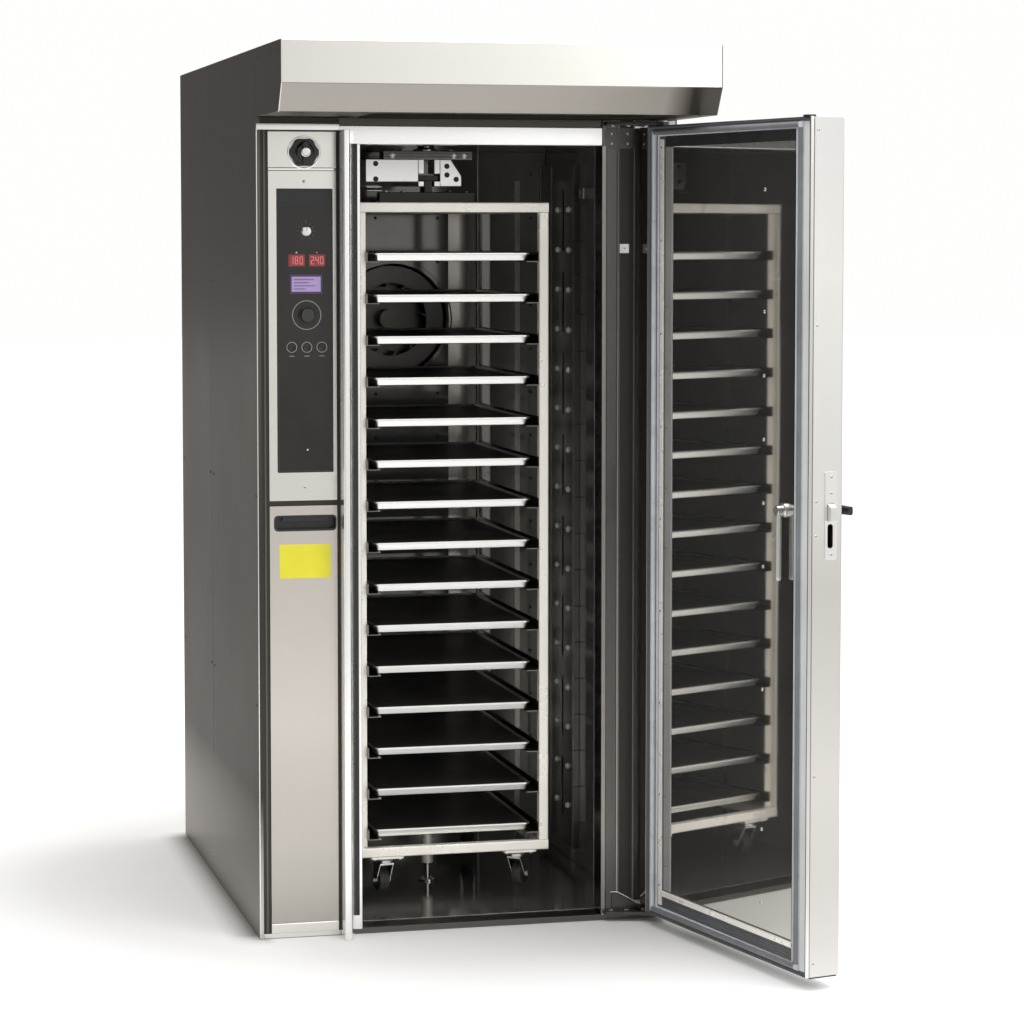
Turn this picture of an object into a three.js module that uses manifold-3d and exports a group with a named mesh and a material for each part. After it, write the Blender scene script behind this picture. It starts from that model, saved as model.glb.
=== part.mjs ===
// Rotating rack oven for bakery trays: cabinet with a swing door, a front hood,
// a control column, and a wheeled rack that hangs from a turning yoke.
// Millimetres, +Z up. The numbers below are measured from the cabinet's
// front left bottom corner; the last lines move the whole model so that the
// origin is the centre of the cabinet's footprint on the floor, with the
// front facing -Y.

import * as THREE from 'three';
import { mergeVertices } from 'three/addons/utils/BufferGeometryUtils.js';
import Module from 'manifold-3d';

const wasm = await Module();
wasm.setup();

// ---------- driving dimensions (mm) ----------
const W = 1032;              // cabinet width
const D = 1300;              // cabinet depth
const H = 2115;              // cabinet height
const SHEET = 2;             // outer panel thickness
const GAP = 0.3;             // gap between touching pieces
const CX = W / 2;            // rack axis, across
const CY = 491;              // rack axis, from the front face

const HOOD_REACH = 360;      // hood in front of the cabinet
const HOOD_Z0 = 1955;
const HOOD_FACE_Z = 2016;    // bottom edge of the hood's upright face
const HOOD_CHAMFER = 40;

const COLUMN_W = 200;        // control column
const JAMB_X = 250;          // left side of the door opening
const POST_X = 844;          // right side of the door opening
const HEAD_Z = 1892;         // top of the door opening
const FRAME_D = 65.7;        // depth of the front frame

const FLOOR_Z = 15;          // chamber floor
const CHAMBER_TOP = 1900;
const CHAMBER_X0 = 91, CHAMBER_X1 = 941;
const CHAMBER_Y0 = 69, CHAMBER_Y1 = 916;
const PLENUM_Y1 = 1120;      // back of the heater space
const LINER_T = 3;
const FAN_Z = 1450;
const FAN_R = 150;

const DOOR_OPEN_DEG = 102.5; // the rest pose has the door open
const PIN_X = 979, PIN_Y = -50;
const DOOR_X0 = 236, DOOR_X1 = 970;
const DOOR_Y0 = -92, DOOR_Y1 = -14;
const DOOR_Z0 = 30, DOOR_Z1 = 1938;
const GLASS_X0 = 392, GLASS_X1 = 858;
const GLASS_Z0 = 62, GLASS_Z1 = 1906;
const HANDLE_X = 342, HANDLE_Z = 1066;

const RACK_W = 480, RACK_D = 640, TUBE = 24;
const RACK_X0 = CX - RACK_W / 2, RACK_X1 = CX + RACK_W / 2;
const RACK_Y0 = CY - RACK_D / 2, RACK_Y1 = CY + RACK_D / 2;
const RACK_Z0 = 147, RACK_Z1 = 1757;
const TRAYS = 15, TRAY_PITCH = 101.5, TRAY_TOP_Z = 1624;
const TRAY_W = 400, TRAY_D = 600, TRAY_H = 20, TRAY_T = 2;
const WHEEL_R = 30, WHEEL_W = 26, AXLE_Z = 78, AXLE_R = 5;
const CASTER_DX = 169, CASTER_DY = 276, TRAIL = 22;
const LEFT_CASTER_YAW = 8, RIGHT_CASTER_YAW = -38;

// ---------- solids ----------
function solid(geometry) {
  const g = geometry.clone();
  for (const k of Object.keys(g.attributes)) if (k !== 'position') g.deleteAttribute(k);
  const m = mergeVertices(g, 1e-4);
  return new wasm.Manifold(new wasm.Mesh({
    numProp: 3,
    vertProperties: new Float32Array(m.attributes.position.array),
    triVerts: new Uint32Array(m.index.array),
  }));
}
function box(x0, x1, y0, y1, z0, z1) {
  const g = new THREE.BoxGeometry(x1 - x0, y1 - y0, z1 - z0);
  g.translate((x0 + x1) / 2, (y0 + y1) / 2, (z0 + z1) / 2);
  return solid(g);
}
// a cylinder along x, y or z; p and q are its place in the other two axes
function rod(axis, p, q, a, b, r, seg = 20, r2 = r) {
  const g = new THREE.CylinderGeometry(r2, r, b - a, seg);
  if (axis === 'x') { g.rotateZ(-Math.PI / 2); g.translate((a + b) / 2, p, q); }
  if (axis === 'y') { g.translate(p, (a + b) / 2, q); }
  if (axis === 'z') { g.rotateX(Math.PI / 2); g.translate(p, q, (a + b) / 2); }
  return solid(g);
}
function flat(points, a, b) {
  const s = new THREE.Shape(points.map(([u, v]) => new THREE.Vector2(u, v)));
  return new THREE.ExtrudeGeometry(s, { depth: b - a, bevelEnabled: false, steps: 1 });
}
// prisms: an outline in plan drawn up z, or an outline in (y, z) drawn along x
function prismZ(points, a, b) {
  const g = flat(points, a, b);
  g.translate(0, 0, a);
  return solid(g);
}
function prismX(points, a, b) {
  const g = flat(points, a, b);
  // shape x -> y, shape y -> z, depth -> x
  g.applyMatrix4(new THREE.Matrix4().set(0, 0, 1, 0, 1, 0, 0, 0, 0, 1, 0, 0, 0, 0, 0, 1));
  g.translate(a, 0, 0);
  return solid(g);
}
const join = (...s) => s.reduce((a, b) => a.add(b));
const cut = (a, ...s) => s.reduce((x, b) => x.subtract(b), a);

function geometryOf(s) {
  const m = s.getMesh();
  const n = m.numProp, count = m.vertProperties.length / n;
  const p = new Float32Array(count * 3);
  for (let i = 0; i < count; i++) for (let k = 0; k < 3; k++) p[i * 3 + k] = m.vertProperties[i * n + k];
  const g = new THREE.BufferGeometry();
  g.setAttribute('position', new THREE.BufferAttribute(p, 3));
  g.setIndex(new THREE.BufferAttribute(new Uint32Array(m.triVerts), 1));
  g.computeVertexNormals();
  return g;
}
function material(color, roughness, metalness, extra = {}) {
  return new THREE.MeshStandardMaterial({ color, roughness, metalness, ...extra });
}
function put(group, name, s, mat) {
  const mesh = new THREE.Mesh(geometryOf(s), mat);
  mesh.name = name;
  group.add(mesh);
  return mesh;
}

// ---------- materials ----------
const STEEL = () => material(0xb9b9b6, 0.32, 0.9);
const DARK_STEEL = () => material(0x5e5d5a, 0.4, 0.85);
const LINER = () => material(0x4a4844, 0.25, 0.9);
const GALV = () => material(0x9aa0a3, 0.5, 0.8);
const CREAM = () => material(0xe6dfcf, 0.4, 0.3);
const ALU = () => material(0xd9d8d4, 0.35, 0.85);
const BLACK_PLASTIC = () => material(0x17171a, 0.45, 0.0);
const BLACK_GLASS = () => material(0x1c1b1f, 0.08, 0.1);
const RUBBER = () => material(0x8d939c, 0.6, 0.0);
const WOOL = () => material(0xcfc39a, 0.95, 0.0);
const PAINT = () => material(0x51616e, 0.5, 0.2);

const oven = new THREE.Group();

// ---------- cabinet shell ----------
// the chamber floor is welded on the base pan
const LINER_OUTLINE = [[249.8, CHAMBER_Y0 - LINER_T], [CHAMBER_X1 + LINER_T, CHAMBER_Y0 - LINER_T], [CHAMBER_X1 + LINER_T, PLENUM_Y1 + LINER_T],
  [CHAMBER_X0 - LINER_T, PLENUM_Y1 + LINER_T], [CHAMBER_X0 - LINER_T, 227.8]];
put(oven, 'base_pan', join(
  box(SHEET + GAP, W - SHEET - GAP, SHEET + GAP, D - SHEET - GAP, 0, 11.7),
  prismZ(LINER_OUTLINE, 11, FLOOR_Z)), LINER());

put(oven, 'left_side_panel', cut(
  join(box(0, SHEET, 0, D, 0, H), box(0, 10, 0, SHEET, 0, HOOD_Z0 - GAP)),
  box(-1, 0.8, 738, 742, -1, H + 1)), DARK_STEEL());
put(oven, 'right_side_panel', cut(
  box(W - SHEET, W, 0, D, 0, H),
  box(W - 0.8, W + 1, 738, 742, -1, H + 1)), DARK_STEEL());

{
  let rear = box(SHEET + GAP, W - SHEET - GAP, D - SHEET, D, 12, H - SHEET - GAP);
  for (let i = 0; i < 7; i++) rear = cut(rear, box(330, 702, D - 5, D + 5, 1330 + i * 38, 1342 + i * 38));
  put(oven, 'rear_panel', rear, STEEL());
}
put(oven, 'roof_panel', box(SHEET + GAP, W - SHEET - GAP, GAP, D - SHEET - GAP, H - SHEET, H), STEEL());

// ---------- baking chamber and heater space ----------
{
  const t = LINER_T;
  const z0 = FLOOR_Z + GAP, z1 = CHAMBER_TOP - GAP;
  // folded walls, open at the front between the jamb and the hinge post
  put(oven, 'chamber_liner', cut(
    prismZ(LINER_OUTLINE, z0, z1),
    prismZ([[251, CHAMBER_Y0], [CHAMBER_X1, CHAMBER_Y0], [CHAMBER_X1, PLENUM_Y1], [CHAMBER_X0, PLENUM_Y1], [CHAMBER_X0, 229]], z0 - 1, z1 + 1),
    box(254, POST_X, CHAMBER_Y0 - 6, CHAMBER_Y0 + 1, z0 - 1, z1 + 1),
    rod('y', CX, FAN_Z, PLENUM_Y1 - 1, PLENUM_Y1 + t + 1, 22, 20)), LINER());

  put(oven, 'chamber_ceiling', cut(prismZ(LINER_OUTLINE, CHAMBER_TOP, CHAMBER_TOP + t),
    rod('z', CX, CY, CHAMBER_TOP - 1, CHAMBER_TOP + t + 1, 24, 24)), LINER());

  // wall between the chamber and the fan, with the fan's mouth and the outlet slots into the duct
  let wall = cut(box(CHAMBER_X0 + GAP, CHAMBER_X1 - GAP, CHAMBER_Y1, CHAMBER_Y1 + t, z0, z1),
    rod('y', CX, FAN_Z, CHAMBER_Y1 - 1, CHAMBER_Y1 + t + 1, FAN_R, 32));
  for (let i = 0; i < 4; i++)
    wall = cut(wall, box(930, 938, CHAMBER_Y1 - 1, CHAMBER_Y1 + t + 1, 120 + i * 430, 480 + i * 430));
  put(oven, 'fan_wall', wall, LINER());
}
put(oven, 'insulation', cut(join(
  box(SHEET + GAP, CHAMBER_X0 - LINER_T - GAP, 232, 1122, 12, 1984),
  box(CHAMBER_X1 + LINER_T + GAP, W - SHEET - GAP, FRAME_D + GAP, 1122, 12, 1984),
  box(SHEET + GAP, W - SHEET - GAP, FRAME_D + GAP, 1122, CHAMBER_TOP + LINER_T + GAP, 1984)),
  rod('z', CX, CY, 1880, 2000, 24, 24)), WOOL());

// right hand air duct with outlet slots, flanges closed back to the liner
{
  const x0 = 925, y0 = 560, y1 = CHAMBER_Y1 - GAP, z0 = 60, z1 = 1860, xw = CHAMBER_X1 - GAP;
  let duct = cut(box(x0, xw, y0, y1, z0, z1), box(x0 + 2, xw + 1, y0 + 2, y1 + 1, z0 + 2, z1 - 2));
  for (let i = 0; i < 8; i++) duct = cut(duct, box(x0 - 1, x0 + 3, 662, 680, 130 + i * 215, 290 + i * 215));
  put(oven, 'air_duct', duct, LINER());
}

// ---------- front frame: header, left jamb with its stop profile, hinge post, sill ----------
{
  const z0 = 12, z1 = HOOD_Z0 - GAP, xr = W - SHEET - GAP;
  const nose = [[COLUMN_W + GAP, 1], [COLUMN_W + GAP, -48], [203, -55], [208, -58], [213, -56], [216, -50], [234, 0], [234, 1]];
  const lug = [[850, 1], [1002, 1], [1000, -44], [993, -60], [979, -66], [964, -61], [930, -36], [850, -18]];
  let frame = join(
    box(COLUMN_W + GAP, xr, 0, FRAME_D, HEAD_Z, z1),
    box(COLUMN_W + GAP, JAMB_X, 0, FRAME_D, z0, z1),
    box(POST_X, xr, 0, FRAME_D, z0, z1),
    box(COLUMN_W + GAP, xr, 0, FRAME_D, z0, FLOOR_Z));
  frame = cut(frame,
    box(COLUMN_W + 4, xr - 3, 3, FRAME_D + 1, HEAD_Z + 3, z1 - 3),
    box(COLUMN_W + 4, JAMB_X - 3, 3, FRAME_D + 1, FLOOR_Z + 3, z1 - 3),
    box(POST_X + 3, xr - 3, 3, FRAME_D + 1, FLOOR_Z + 3, z1 - 3));
  frame = join(frame, prismZ(nose, z0, 1925), prismZ(lug, 1941, 1950), prismZ(lug, 16, 25));
  frame = cut(frame, rod('z', PIN_X, PIN_Y, 1930, 1960, 8.3, 20), rod('z', PIN_X, PIN_Y, 10, 28, 8.3, 20));
  put(oven, 'front_frame', frame, STEEL());
}

// ---------- hood ----------
{
  const outer = [[-HOOD_REACH, H], [-HOOD_REACH, HOOD_FACE_Z], [-HOOD_REACH + HOOD_CHAMFER, HOOD_Z0], [-GAP, HOOD_Z0], [-GAP, H]];
  const inner = [[-HOOD_REACH + 2, H - 2], [-HOOD_REACH + 2, HOOD_FACE_Z + 0.6], [-HOOD_REACH + HOOD_CHAMFER + 1.3, HOOD_Z0 + 2],
    [-GAP - 2, HOOD_Z0 + 2], [-GAP - 2, H - 2]];
  put(oven, 'hood', cut(prismX(outer, 0, W), prismX(inner, 2, W - 2),
    box(230, 860, -210, -60, HOOD_Z0 - 5, HOOD_Z0 + 5)), STEEL());
}

// ---------- control column ----------
{
  const x0 = 10 + GAP, x1 = COLUMN_W - 0.1, z0 = 12, z1 = HOOD_Z0 - GAP;
  let column = join(
    box(x0, x1, 6, 9, z0, z1),
    box(x0, x0 + 3, 6, 60, z0, z1),
    box(x1 - 3, x1, 6, 60, z0, z1),
    box(x0, x1, 6, 60, z1 - 3, z1),
    box(x0, x1, 6, 60, z0, z0 + 3));
  column = cut(column,
    box(28.7, 192.3, 0, 30, 34.7, 1037.3),
    box(60, 172, 0, 30, 1130, 1775));
  column = join(column, box(29, 192, 2, 7, 1836, 1922),
    cut(box(29, 192, 2, 7, 1049, 1829), box(49, 183, 0, 10, 1116, 1787)));
  column = cut(column, rod('y', 115, 1872, 0, 12, 9, 20));
  put(oven, 'column_frame', column, STEEL());

  put(oven, 'control_glass', cut(box(49.3, 182.7, 1, 5.7, 1116.3, 1786.7),
    rod('y', 119, 1687, 0, 8, 4, 12), rod('y', 120, 1489, 0, 8, 4.5, 12),
    rod('y', 84, 1413, 0, 8, 11, 20), rod('y', 120, 1413, 0, 8, 11, 20), rod('y', 156, 1413, 0, 8, 11, 20)), BLACK_GLASS());

  // rotary knobs and push buttons on the front
  put(oven, 'main_switch_knob', join(
    rod('y', 115, 1872, -7, 1.7, 34, 28), rod('y', 115, 1872, -20, -6, 20, 24),
    box(107, 123, -27, -6, 1846, 1898), rod('y', 115, 1872, 1, 20, 8, 16)), BLACK_PLASTIC());
  put(oven, 'set_knob', join(rod('y', 119, 1687, -13, 0.7, 12, 24), rod('y', 119, 1687, 0, 12, 3.5, 12),
    box(118, 120, -14, -12, 1687, 1697)), ALU());
  put(oven, 'program_knob', join(rod('y', 120, 1489, -18, 0.7, 20, 28), rod('y', 120, 1489, 0, 14, 4, 12),
    box(118.5, 121.5, -19, -17, 1492, 1507)), BLACK_PLASTIC());
  [84, 120, 156].forEach((x, i) =>
    put(oven, `button_${i + 1}`, join(rod('y', x, 1413, -2.5, 6, 10.4, 20), rod('y', x, 1413, 5, 10, 7, 12)), BLACK_PLASTIC()));

  // service door below, with a moulded pull
  put(oven, 'service_door', cut(join(
    cut(box(29, 192, 2, 20, 35, 1037), box(31.5, 189.5, 4, 21, 37.5, 1034.5)),
    box(40, 190, 3, 17, 977, 1014)),
    box(43, 187, 0, 15, 980, 1011)), STEEL());
}

// ---------- heating, air movement and steam ----------
{
  // impeller: backplate, blades, shroud ring and shaft
  const y0 = 935, y1 = 1010;
  let fan = join(rod('y', CX, FAN_Z, y1 - 4, y1, FAN_R - 6, 32), rod('y', CX, FAN_Z, y0 + 20, y1, 26, 20),
    rod('y', CX, FAN_Z, y1 - 1, 1150, 12, 16));
  const ring = cut(rod('y', CX, FAN_Z, y0, y0 + 4, FAN_R - 6, 32), rod('y', CX, FAN_Z, y0 - 1, y0 + 5, FAN_R - 52, 32));
  fan = join(fan, ring);
  for (let i = 0; i < 12; i++) {
    const g = new THREE.BoxGeometry(58, y1 - y0 - 2, 4);
    g.rotateY(0.5);
    g.translate(FAN_R - 38, 0, 0);
    g.rotateY(i * Math.PI / 6);
    g.translate(CX, (y0 + y1) / 2, FAN_Z);
    fan = join(fan, solid(g));
  }
  put(oven, 'fan_impeller', fan, ALU());

  const my = PLENUM_Y1 + LINER_T + GAP;
  put(oven, 'fan_motor', cut(join(
    box(CX - 116, CX + 116, my, my + 5, FAN_Z - 120, FAN_Z + 120),
    rod('y', CX, FAN_Z, my, my + 18, 90, 28),
    rod('y', CX, FAN_Z, my + 17, my + 160, 76, 28),
    box(CX - 45, CX + 45, my + 40, my + 120, FAN_Z + 60, FAN_Z + 105)),
    rod('y', CX, FAN_Z, my - 2, my + 30, 13, 16)), PAINT());

  // tubular heating elements on a foot
  let heat = join(box(300, 732, 1000, 1040, FLOOR_Z + GAP, 40));
  for (let i = 0; i < 7; i++) {
    const x = 318 + i * 66;
    heat = join(heat, rod('z', x - 14, 1020, 38, 1190, 7, 8), rod('z', x + 14, 1020, 38, 1190, 7, 8),
      rod('x', 1020, 1188, x - 20, x + 20, 7, 8));
  }

  // steam cascade: a stepped stack with its water pipe, on the heater's foot
  put(oven, 'heater_steam_unit', join(heat,
    box(258, 304, 1005, 1035, FLOOR_Z + GAP, 34),
    box(110, 262, 940, 1100, FLOOR_Z + GAP, 60),
    box(118, 254, 1060, 1092, 58, 860),
    box(122, 250, 965, 1062, 200, 212), box(122, 250, 985, 1062, 380, 392),
    box(122, 250, 1000, 1062, 560, 572), box(122, 250, 1015, 1062, 740, 752),
    rod('z', 186, 1076, 858, 1240, 9, 12)), DARK_STEEL());
}

// ---------- rack drive on the chamber roof ----------
{
  const z = 1984 + GAP;
  let drive = join(
    box(440, 840, 420, 562, z, z + 4),
    box(CX - 60, CX + 60, CY - 60, CY + 60, 2066, 2110),
    box(CX - 60, CX - 46, CY - 60, CY - 46, z, 2070), box(CX + 46, CX + 60, CY - 60, CY - 46, z, 2070),
    box(CX - 60, CX - 46, CY + 46, CY + 60, z, 2070), box(CX + 46, CX + 60, CY + 46, CY + 60, z, 2070),
    rod('x', CY, 2066, CX + 58, 830, 40, 24),
    rod('x', CY, 2066, 812, 850, 43, 24),
    box(680, 740, CY - 22, CY + 22, z, 2030));
  drive = cut(drive, rod('z', CX, CY, 2050, 2120, 21.5, 20), rod('z', CX, CY, 1980, 1992, 58, 28));
  put(oven, 'drive_gearmotor', drive, PAINT());

  put(oven, 'lift_bearing', cut(join(
    rod('z', CX, CY, 2023, 2057, 46, 28), box(CX - 56, CX + 56, CY - 12, CY + 12, 2030, 2050)),
    rod('z', CX, CY, 2020, 2060, 21, 20)), GALV());

  // shaft, cross bar and the two C rails that carry the rack's tee
  const y0 = 452, y1 = 530;
  let yoke = join(
    rod('z', CX, CY, 1880, 2102, 20, 20),
    rod('z', CX, CY, 2057 + GAP, 2064, 30, 24),
    box(400, 632, 466, 516, 1866, 1890),
    box(352, CX - 13, y0, y1, 1800, 1868),
    box(CX + 13, 600, y0, y1, 1800, 1868));
  yoke = cut(yoke, box(CX - 28, CX + 28, y0 - 1, y1 + 1, 1813, 1832),
    prismX([[y0 - 1, 1795], [y0 - 1, 1812], [y0 + 14, 1795]], 351, CX - 100));
  put(oven, 'drive_yoke', yoke, STEEL());
}

// ---------- rack ----------
const trayZ = (i) => TRAY_TOP_Z - TRAY_PITCH * i;     // middle of tray i's edge, 0 at the top
{
  const inner = (z0, z1) => box(RACK_X0 + TUBE, RACK_X1 - TUBE, RACK_Y0 + TUBE, RACK_Y1 - TUBE, z0, z1);
  const ring = (z0) => cut(box(RACK_X0, RACK_X1, RACK_Y0, RACK_Y1, z0, z0 + TUBE), inner(z0 - 1, z0 + TUBE + 1));
  const bar = (z0) => box(RACK_X0 + TUBE - 2, RACK_X1 - TUBE + 2, CY - TUBE / 2, CY + TUBE / 2, z0, z0 + TUBE);

  put(oven, 'rack_top_frame', join(
    ring(RACK_Z1 - TUBE), bar(RACK_Z1 - TUBE),
    box(CX - 125, CX + 125, CY - 16, CY + 16, RACK_Z1 - 1, 1786),
    box(CX - 10, CX + 10, CY - 28, CY + 28, 1780, 1820),
    box(CX - 25, CX + 25, CY - 30, CY + 30, 1814, 1828)), CREAM());

  const plate = (sx, sy) => box(CX + sx * CASTER_DX - 42, CX + sx * CASTER_DX + 42,
    sy < 0 ? RACK_Y0 + 2 : RACK_Y1 - 90, sy < 0 ? RACK_Y0 + 90 : RACK_Y1 - 2, RACK_Z0 - 6, RACK_Z0 + 1);
  let bottom = join(ring(RACK_Z0), bar(RACK_Z0), plate(-1, -1), plate(1, -1), plate(-1, 1), plate(1, 1),
    rod('z', CX, CY, 60, RACK_Z0 + 2, 14.5, 20));
  // fixed forks at the back
  for (const sx of [-1, 1]) {
    const x = CX + sx * CASTER_DX, y = CY + CASTER_DY;
    for (const s of [-1, 1])
      bottom = join(bottom, cut(prismX([[y - 22, 143], [y + 22, 143], [y + 11, 68], [y - 11, 68]],
        s < 0 ? x - 18.5 : x + 15.5, s < 0 ? x - 15.5 : x + 18.5), rod('x', y, AXLE_Z, x - 25, x + 25, AXLE_R + 0.4, 14)));
  }
  bottom = cut(bottom, rod('z', CX, CY, 50, 142, 8.5, 20));
  put(oven, 'rack_bottom_frame', bottom, CREAM());

  const side = (s) => {
    // s = -1 left, 1 right; u is measured inwards from the outer face
    const X = (u0, u1) => s < 0 ? [RACK_X0 + u0, RACK_X0 + u1] : [RACK_X1 - u1, RACK_X1 - u0];
    const z0 = RACK_Z0 + TUBE + GAP, z1 = RACK_Z1 - TUBE - GAP;
    let body = join(
      box(...X(0, TUBE), RACK_Y0, RACK_Y0 + TUBE, z0, z1),
      box(...X(0, TUBE), RACK_Y1 - TUBE, RACK_Y1, z0, z1));
    for (let i = 0; i < TRAYS; i++) {
      const zb = trayZ(i) - TRAY_H / 2;
      body = join(body,
        box(...X(TUBE - 2, 56), RACK_Y0 + 2, RACK_Y1 - 2, zb - 3.3, zb - GAP),
        box(...X(TUBE - 2, TUBE + 1), RACK_Y0 + 2, RACK_Y1 - 2, zb - 3.3, zb + 22));
    }
    return body;
  };
  put(oven, 'rack_side_left', side(-1), CREAM());
  put(oven, 'rack_side_right', side(1), CREAM());

  // wheels with their axles, drawn along x about their own centre
  const wheel = () => {
    const profile = [[0, -20], [AXLE_R, -20], [AXLE_R, -14.5], [9, -14.5], [9, -11], [19, -11], [20.5, -WHEEL_W / 2], [WHEEL_R - 2, -WHEEL_W / 2],
      [WHEEL_R, -WHEEL_W / 2 + 3], [WHEEL_R, WHEEL_W / 2 - 3], [WHEEL_R - 2, WHEEL_W / 2], [20.5, WHEEL_W / 2], [19, 11], [9, 11], [9, 14.5], [AXLE_R, 14.5],
      [AXLE_R, 20], [0, 20]].map(([r, y]) => new THREE.Vector2(r, y));
    const g = new THREE.LatheGeometry(profile, 20);
    g.rotateZ(-Math.PI / 2);
    return solid(g);
  };
  [[-1, -1, LEFT_CASTER_YAW, 'front_left'], [1, -1, RIGHT_CASTER_YAW, 'front_right']].forEach(([sx, sy, yaw, name]) => {
    const caster = new THREE.Group();
    caster.position.set(CX + sx * CASTER_DX, CY + sy * CASTER_DY, 0);
    caster.rotation.z = yaw * Math.PI / 180;
    let fork = join(rod('z', 0, 0, 126, RACK_Z0 - 6 - GAP, 26, 24), box(-18.5, 18.5, -22, TRAIL + 6, 121, 127));
    for (const s of [-1, 1])
      fork = join(fork, cut(prismX([[-21, 126], [TRAIL + 6, 126], [TRAIL + 11, 84], [TRAIL + 7, 69], [TRAIL - 6, 68], [TRAIL - 14, 78]],
        s < 0 ? -18.5 : 15.5, s < 0 ? -15.5 : 18.5), rod('x', TRAIL, AXLE_Z, -25, 25, AXLE_R + 0.4, 14)));
    put(caster, `caster_fork_${name}`, fork, STEEL());
    const w = put(caster, `wheel_${name}`, wheel(), BLACK_PLASTIC());
    w.position.set(0, TRAIL, AXLE_Z);
    oven.add(caster);
  });
  [[-1, 'rear_left'], [1, 'rear_right']].forEach(([sx, name]) => {
    const w = put(oven, `wheel_${name}`, wheel(), BLACK_PLASTIC());
    w.position.set(CX + sx * CASTER_DX, CY + CASTER_DY, AXLE_Z);
  });

  put(oven, 'floor_pin', join(rod('z', CX, CY, FLOOR_Z + GAP, 21, 24, 24), rod('z', CX, CY, 20, 108, 7, 16)), STEEL());

  // trays: shallow pans that rest on the runners
  for (let i = 0; i < TRAYS; i++) {
    const z = trayZ(i), x0 = CX - TRAY_W / 2, x1 = CX + TRAY_W / 2, y0 = CY - TRAY_D / 2, y1 = CY + TRAY_D / 2;
    put(oven, `tray_${String(i + 1).padStart(2, '0')}`, cut(
      box(x0, x1, y0, y1, z - TRAY_H / 2, z + TRAY_H / 2),
      box(x0 + TRAY_T, x1 - TRAY_T, y0 + TRAY_T, y1 - TRAY_T, z - TRAY_H / 2 + TRAY_T, z + TRAY_H)), ALU());
  }
}

// ---------- door, drawn closed, then turned open about its pin ----------
const door = new THREE.Group();
door.position.set(PIN_X, PIN_Y, 0);
door.rotation.z = DOOR_OPEN_DEG * Math.PI / 180;
{
  const leaf = new THREE.Group();
  leaf.position.set(-PIN_X, -PIN_Y, 0);
  door.add(leaf);
  const t = 3;

  let shell = cut(
    box(DOOR_X0, DOOR_X1, DOOR_Y0, DOOR_Y1, DOOR_Z0, DOOR_Z1),
    box(DOOR_X0 + t, DOOR_X1 - t, DOOR_Y0 + t, DOOR_Y1 - t, DOOR_Z0 + t, DOOR_Z1 - t),
    box(GLASS_X0, GLASS_X1, DOOR_Y0 - 1, DOOR_Y1 + 1, GLASS_Z0, GLASS_Z1));
  shell = join(shell,
    prismZ([[950, -34], [985, -34], [993, -42], [993, -58], [985, -66], [950, -66]], DOOR_Z1 - 12, DOOR_Z1),
    prismZ([[950, -34], [985, -34], [993, -42], [993, -58], [985, -66], [950, -66]], DOOR_Z0, DOOR_Z0 + 12),
    rod('z', PIN_X, PIN_Y, DOOR_Z1 - 10, 1949.5, 7.8, 20),
    rod('z', PIN_X, PIN_Y, 16.5, DOOR_Z0 + 10, 7.8, 20));
  shell = cut(shell,
    box(DOOR_X0 - 1, DOOR_X0 + 4, -72.5, -53.5, 1047.5, 1088.5),
    box(DOOR_X0 - 1, DOOR_X0 + 4, -68, -54, 988, 1042),
    rod('y', HANDLE_X, HANDLE_Z, DOOR_Y0 - 1, DOOR_Y0 + t + 1, 9, 20),
    rod('y', HANDLE_X, HANDLE_Z, DOOR_Y1 - t - 1, DOOR_Y1 + 1, 9, 20));
  put(leaf, 'door_shell', shell, STEEL());

  put(leaf, 'door_inner_glass', box(GLASS_X0 - 8, GLASS_X1 + 8, -23.5, DOOR_Y1 - t - GAP, GLASS_Z0 - 8, GLASS_Z1 + 8), BLACK_GLASS());
  put(leaf, 'door_outer_glass', box(GLASS_X0 - 8, GLASS_X1 + 8, DOOR_Y0 + t + GAP, -82.5, GLASS_Z0 - 8, GLASS_Z1 + 8), BLACK_GLASS());
  put(leaf, 'door_gasket', cut(
    box(DOOR_X0 + 2, DOOR_X1 - 2, DOOR_Y1 + GAP, -1, DOOR_Z0 + 2, DOOR_Z1 - 2),
    box(DOOR_X0 + 38, DOOR_X1 - 46, DOOR_Y1 - 1, 0, DOOR_Z0 + 34, DOOR_Z1 - 30)), RUBBER());

  put(leaf, 'latch_bolt', join(box(222, 262, -72, -54, 1048, 1088), box(260, 318, -69, -57, 1060, 1076)), STEEL());

  put(leaf, 'door_handle', join(
    rod('y', HANDLE_X, HANDLE_Z, -99, DOOR_Y0 - GAP, 22, 24),
    rod('y', HANDLE_X, HANDLE_Z, -98, -62, 8, 16),
    rod('y', HANDLE_X, HANDLE_Z, -124, -98, 12, 20),
    box(HANDLE_X - 82, HANDLE_X + 12, -138, -122, HANDLE_Z - 12, HANDLE_Z + 12)), BLACK_PLASTIC());

  put(leaf, 'inner_release', join(
    rod('y', HANDLE_X, HANDLE_Z, DOOR_Y1 + GAP, 14, 17, 24),
    rod('y', HANDLE_X, HANDLE_Z, -50, DOOR_Y1 + 1, 8, 16),
    rod('z', HANDLE_X, 6, 908, HANDLE_Z - 8, 6, 14)), STEEL());
}
oven.add(door);

// origin: centre of the cabinet's footprint, on the floor
oven.position.set(-W / 2, -D / 2, 0);
const model = new THREE.Group();
model.add(oven);

export default model;
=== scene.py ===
import math
import bpy
import bmesh
from mathutils import Matrix, Vector


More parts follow.
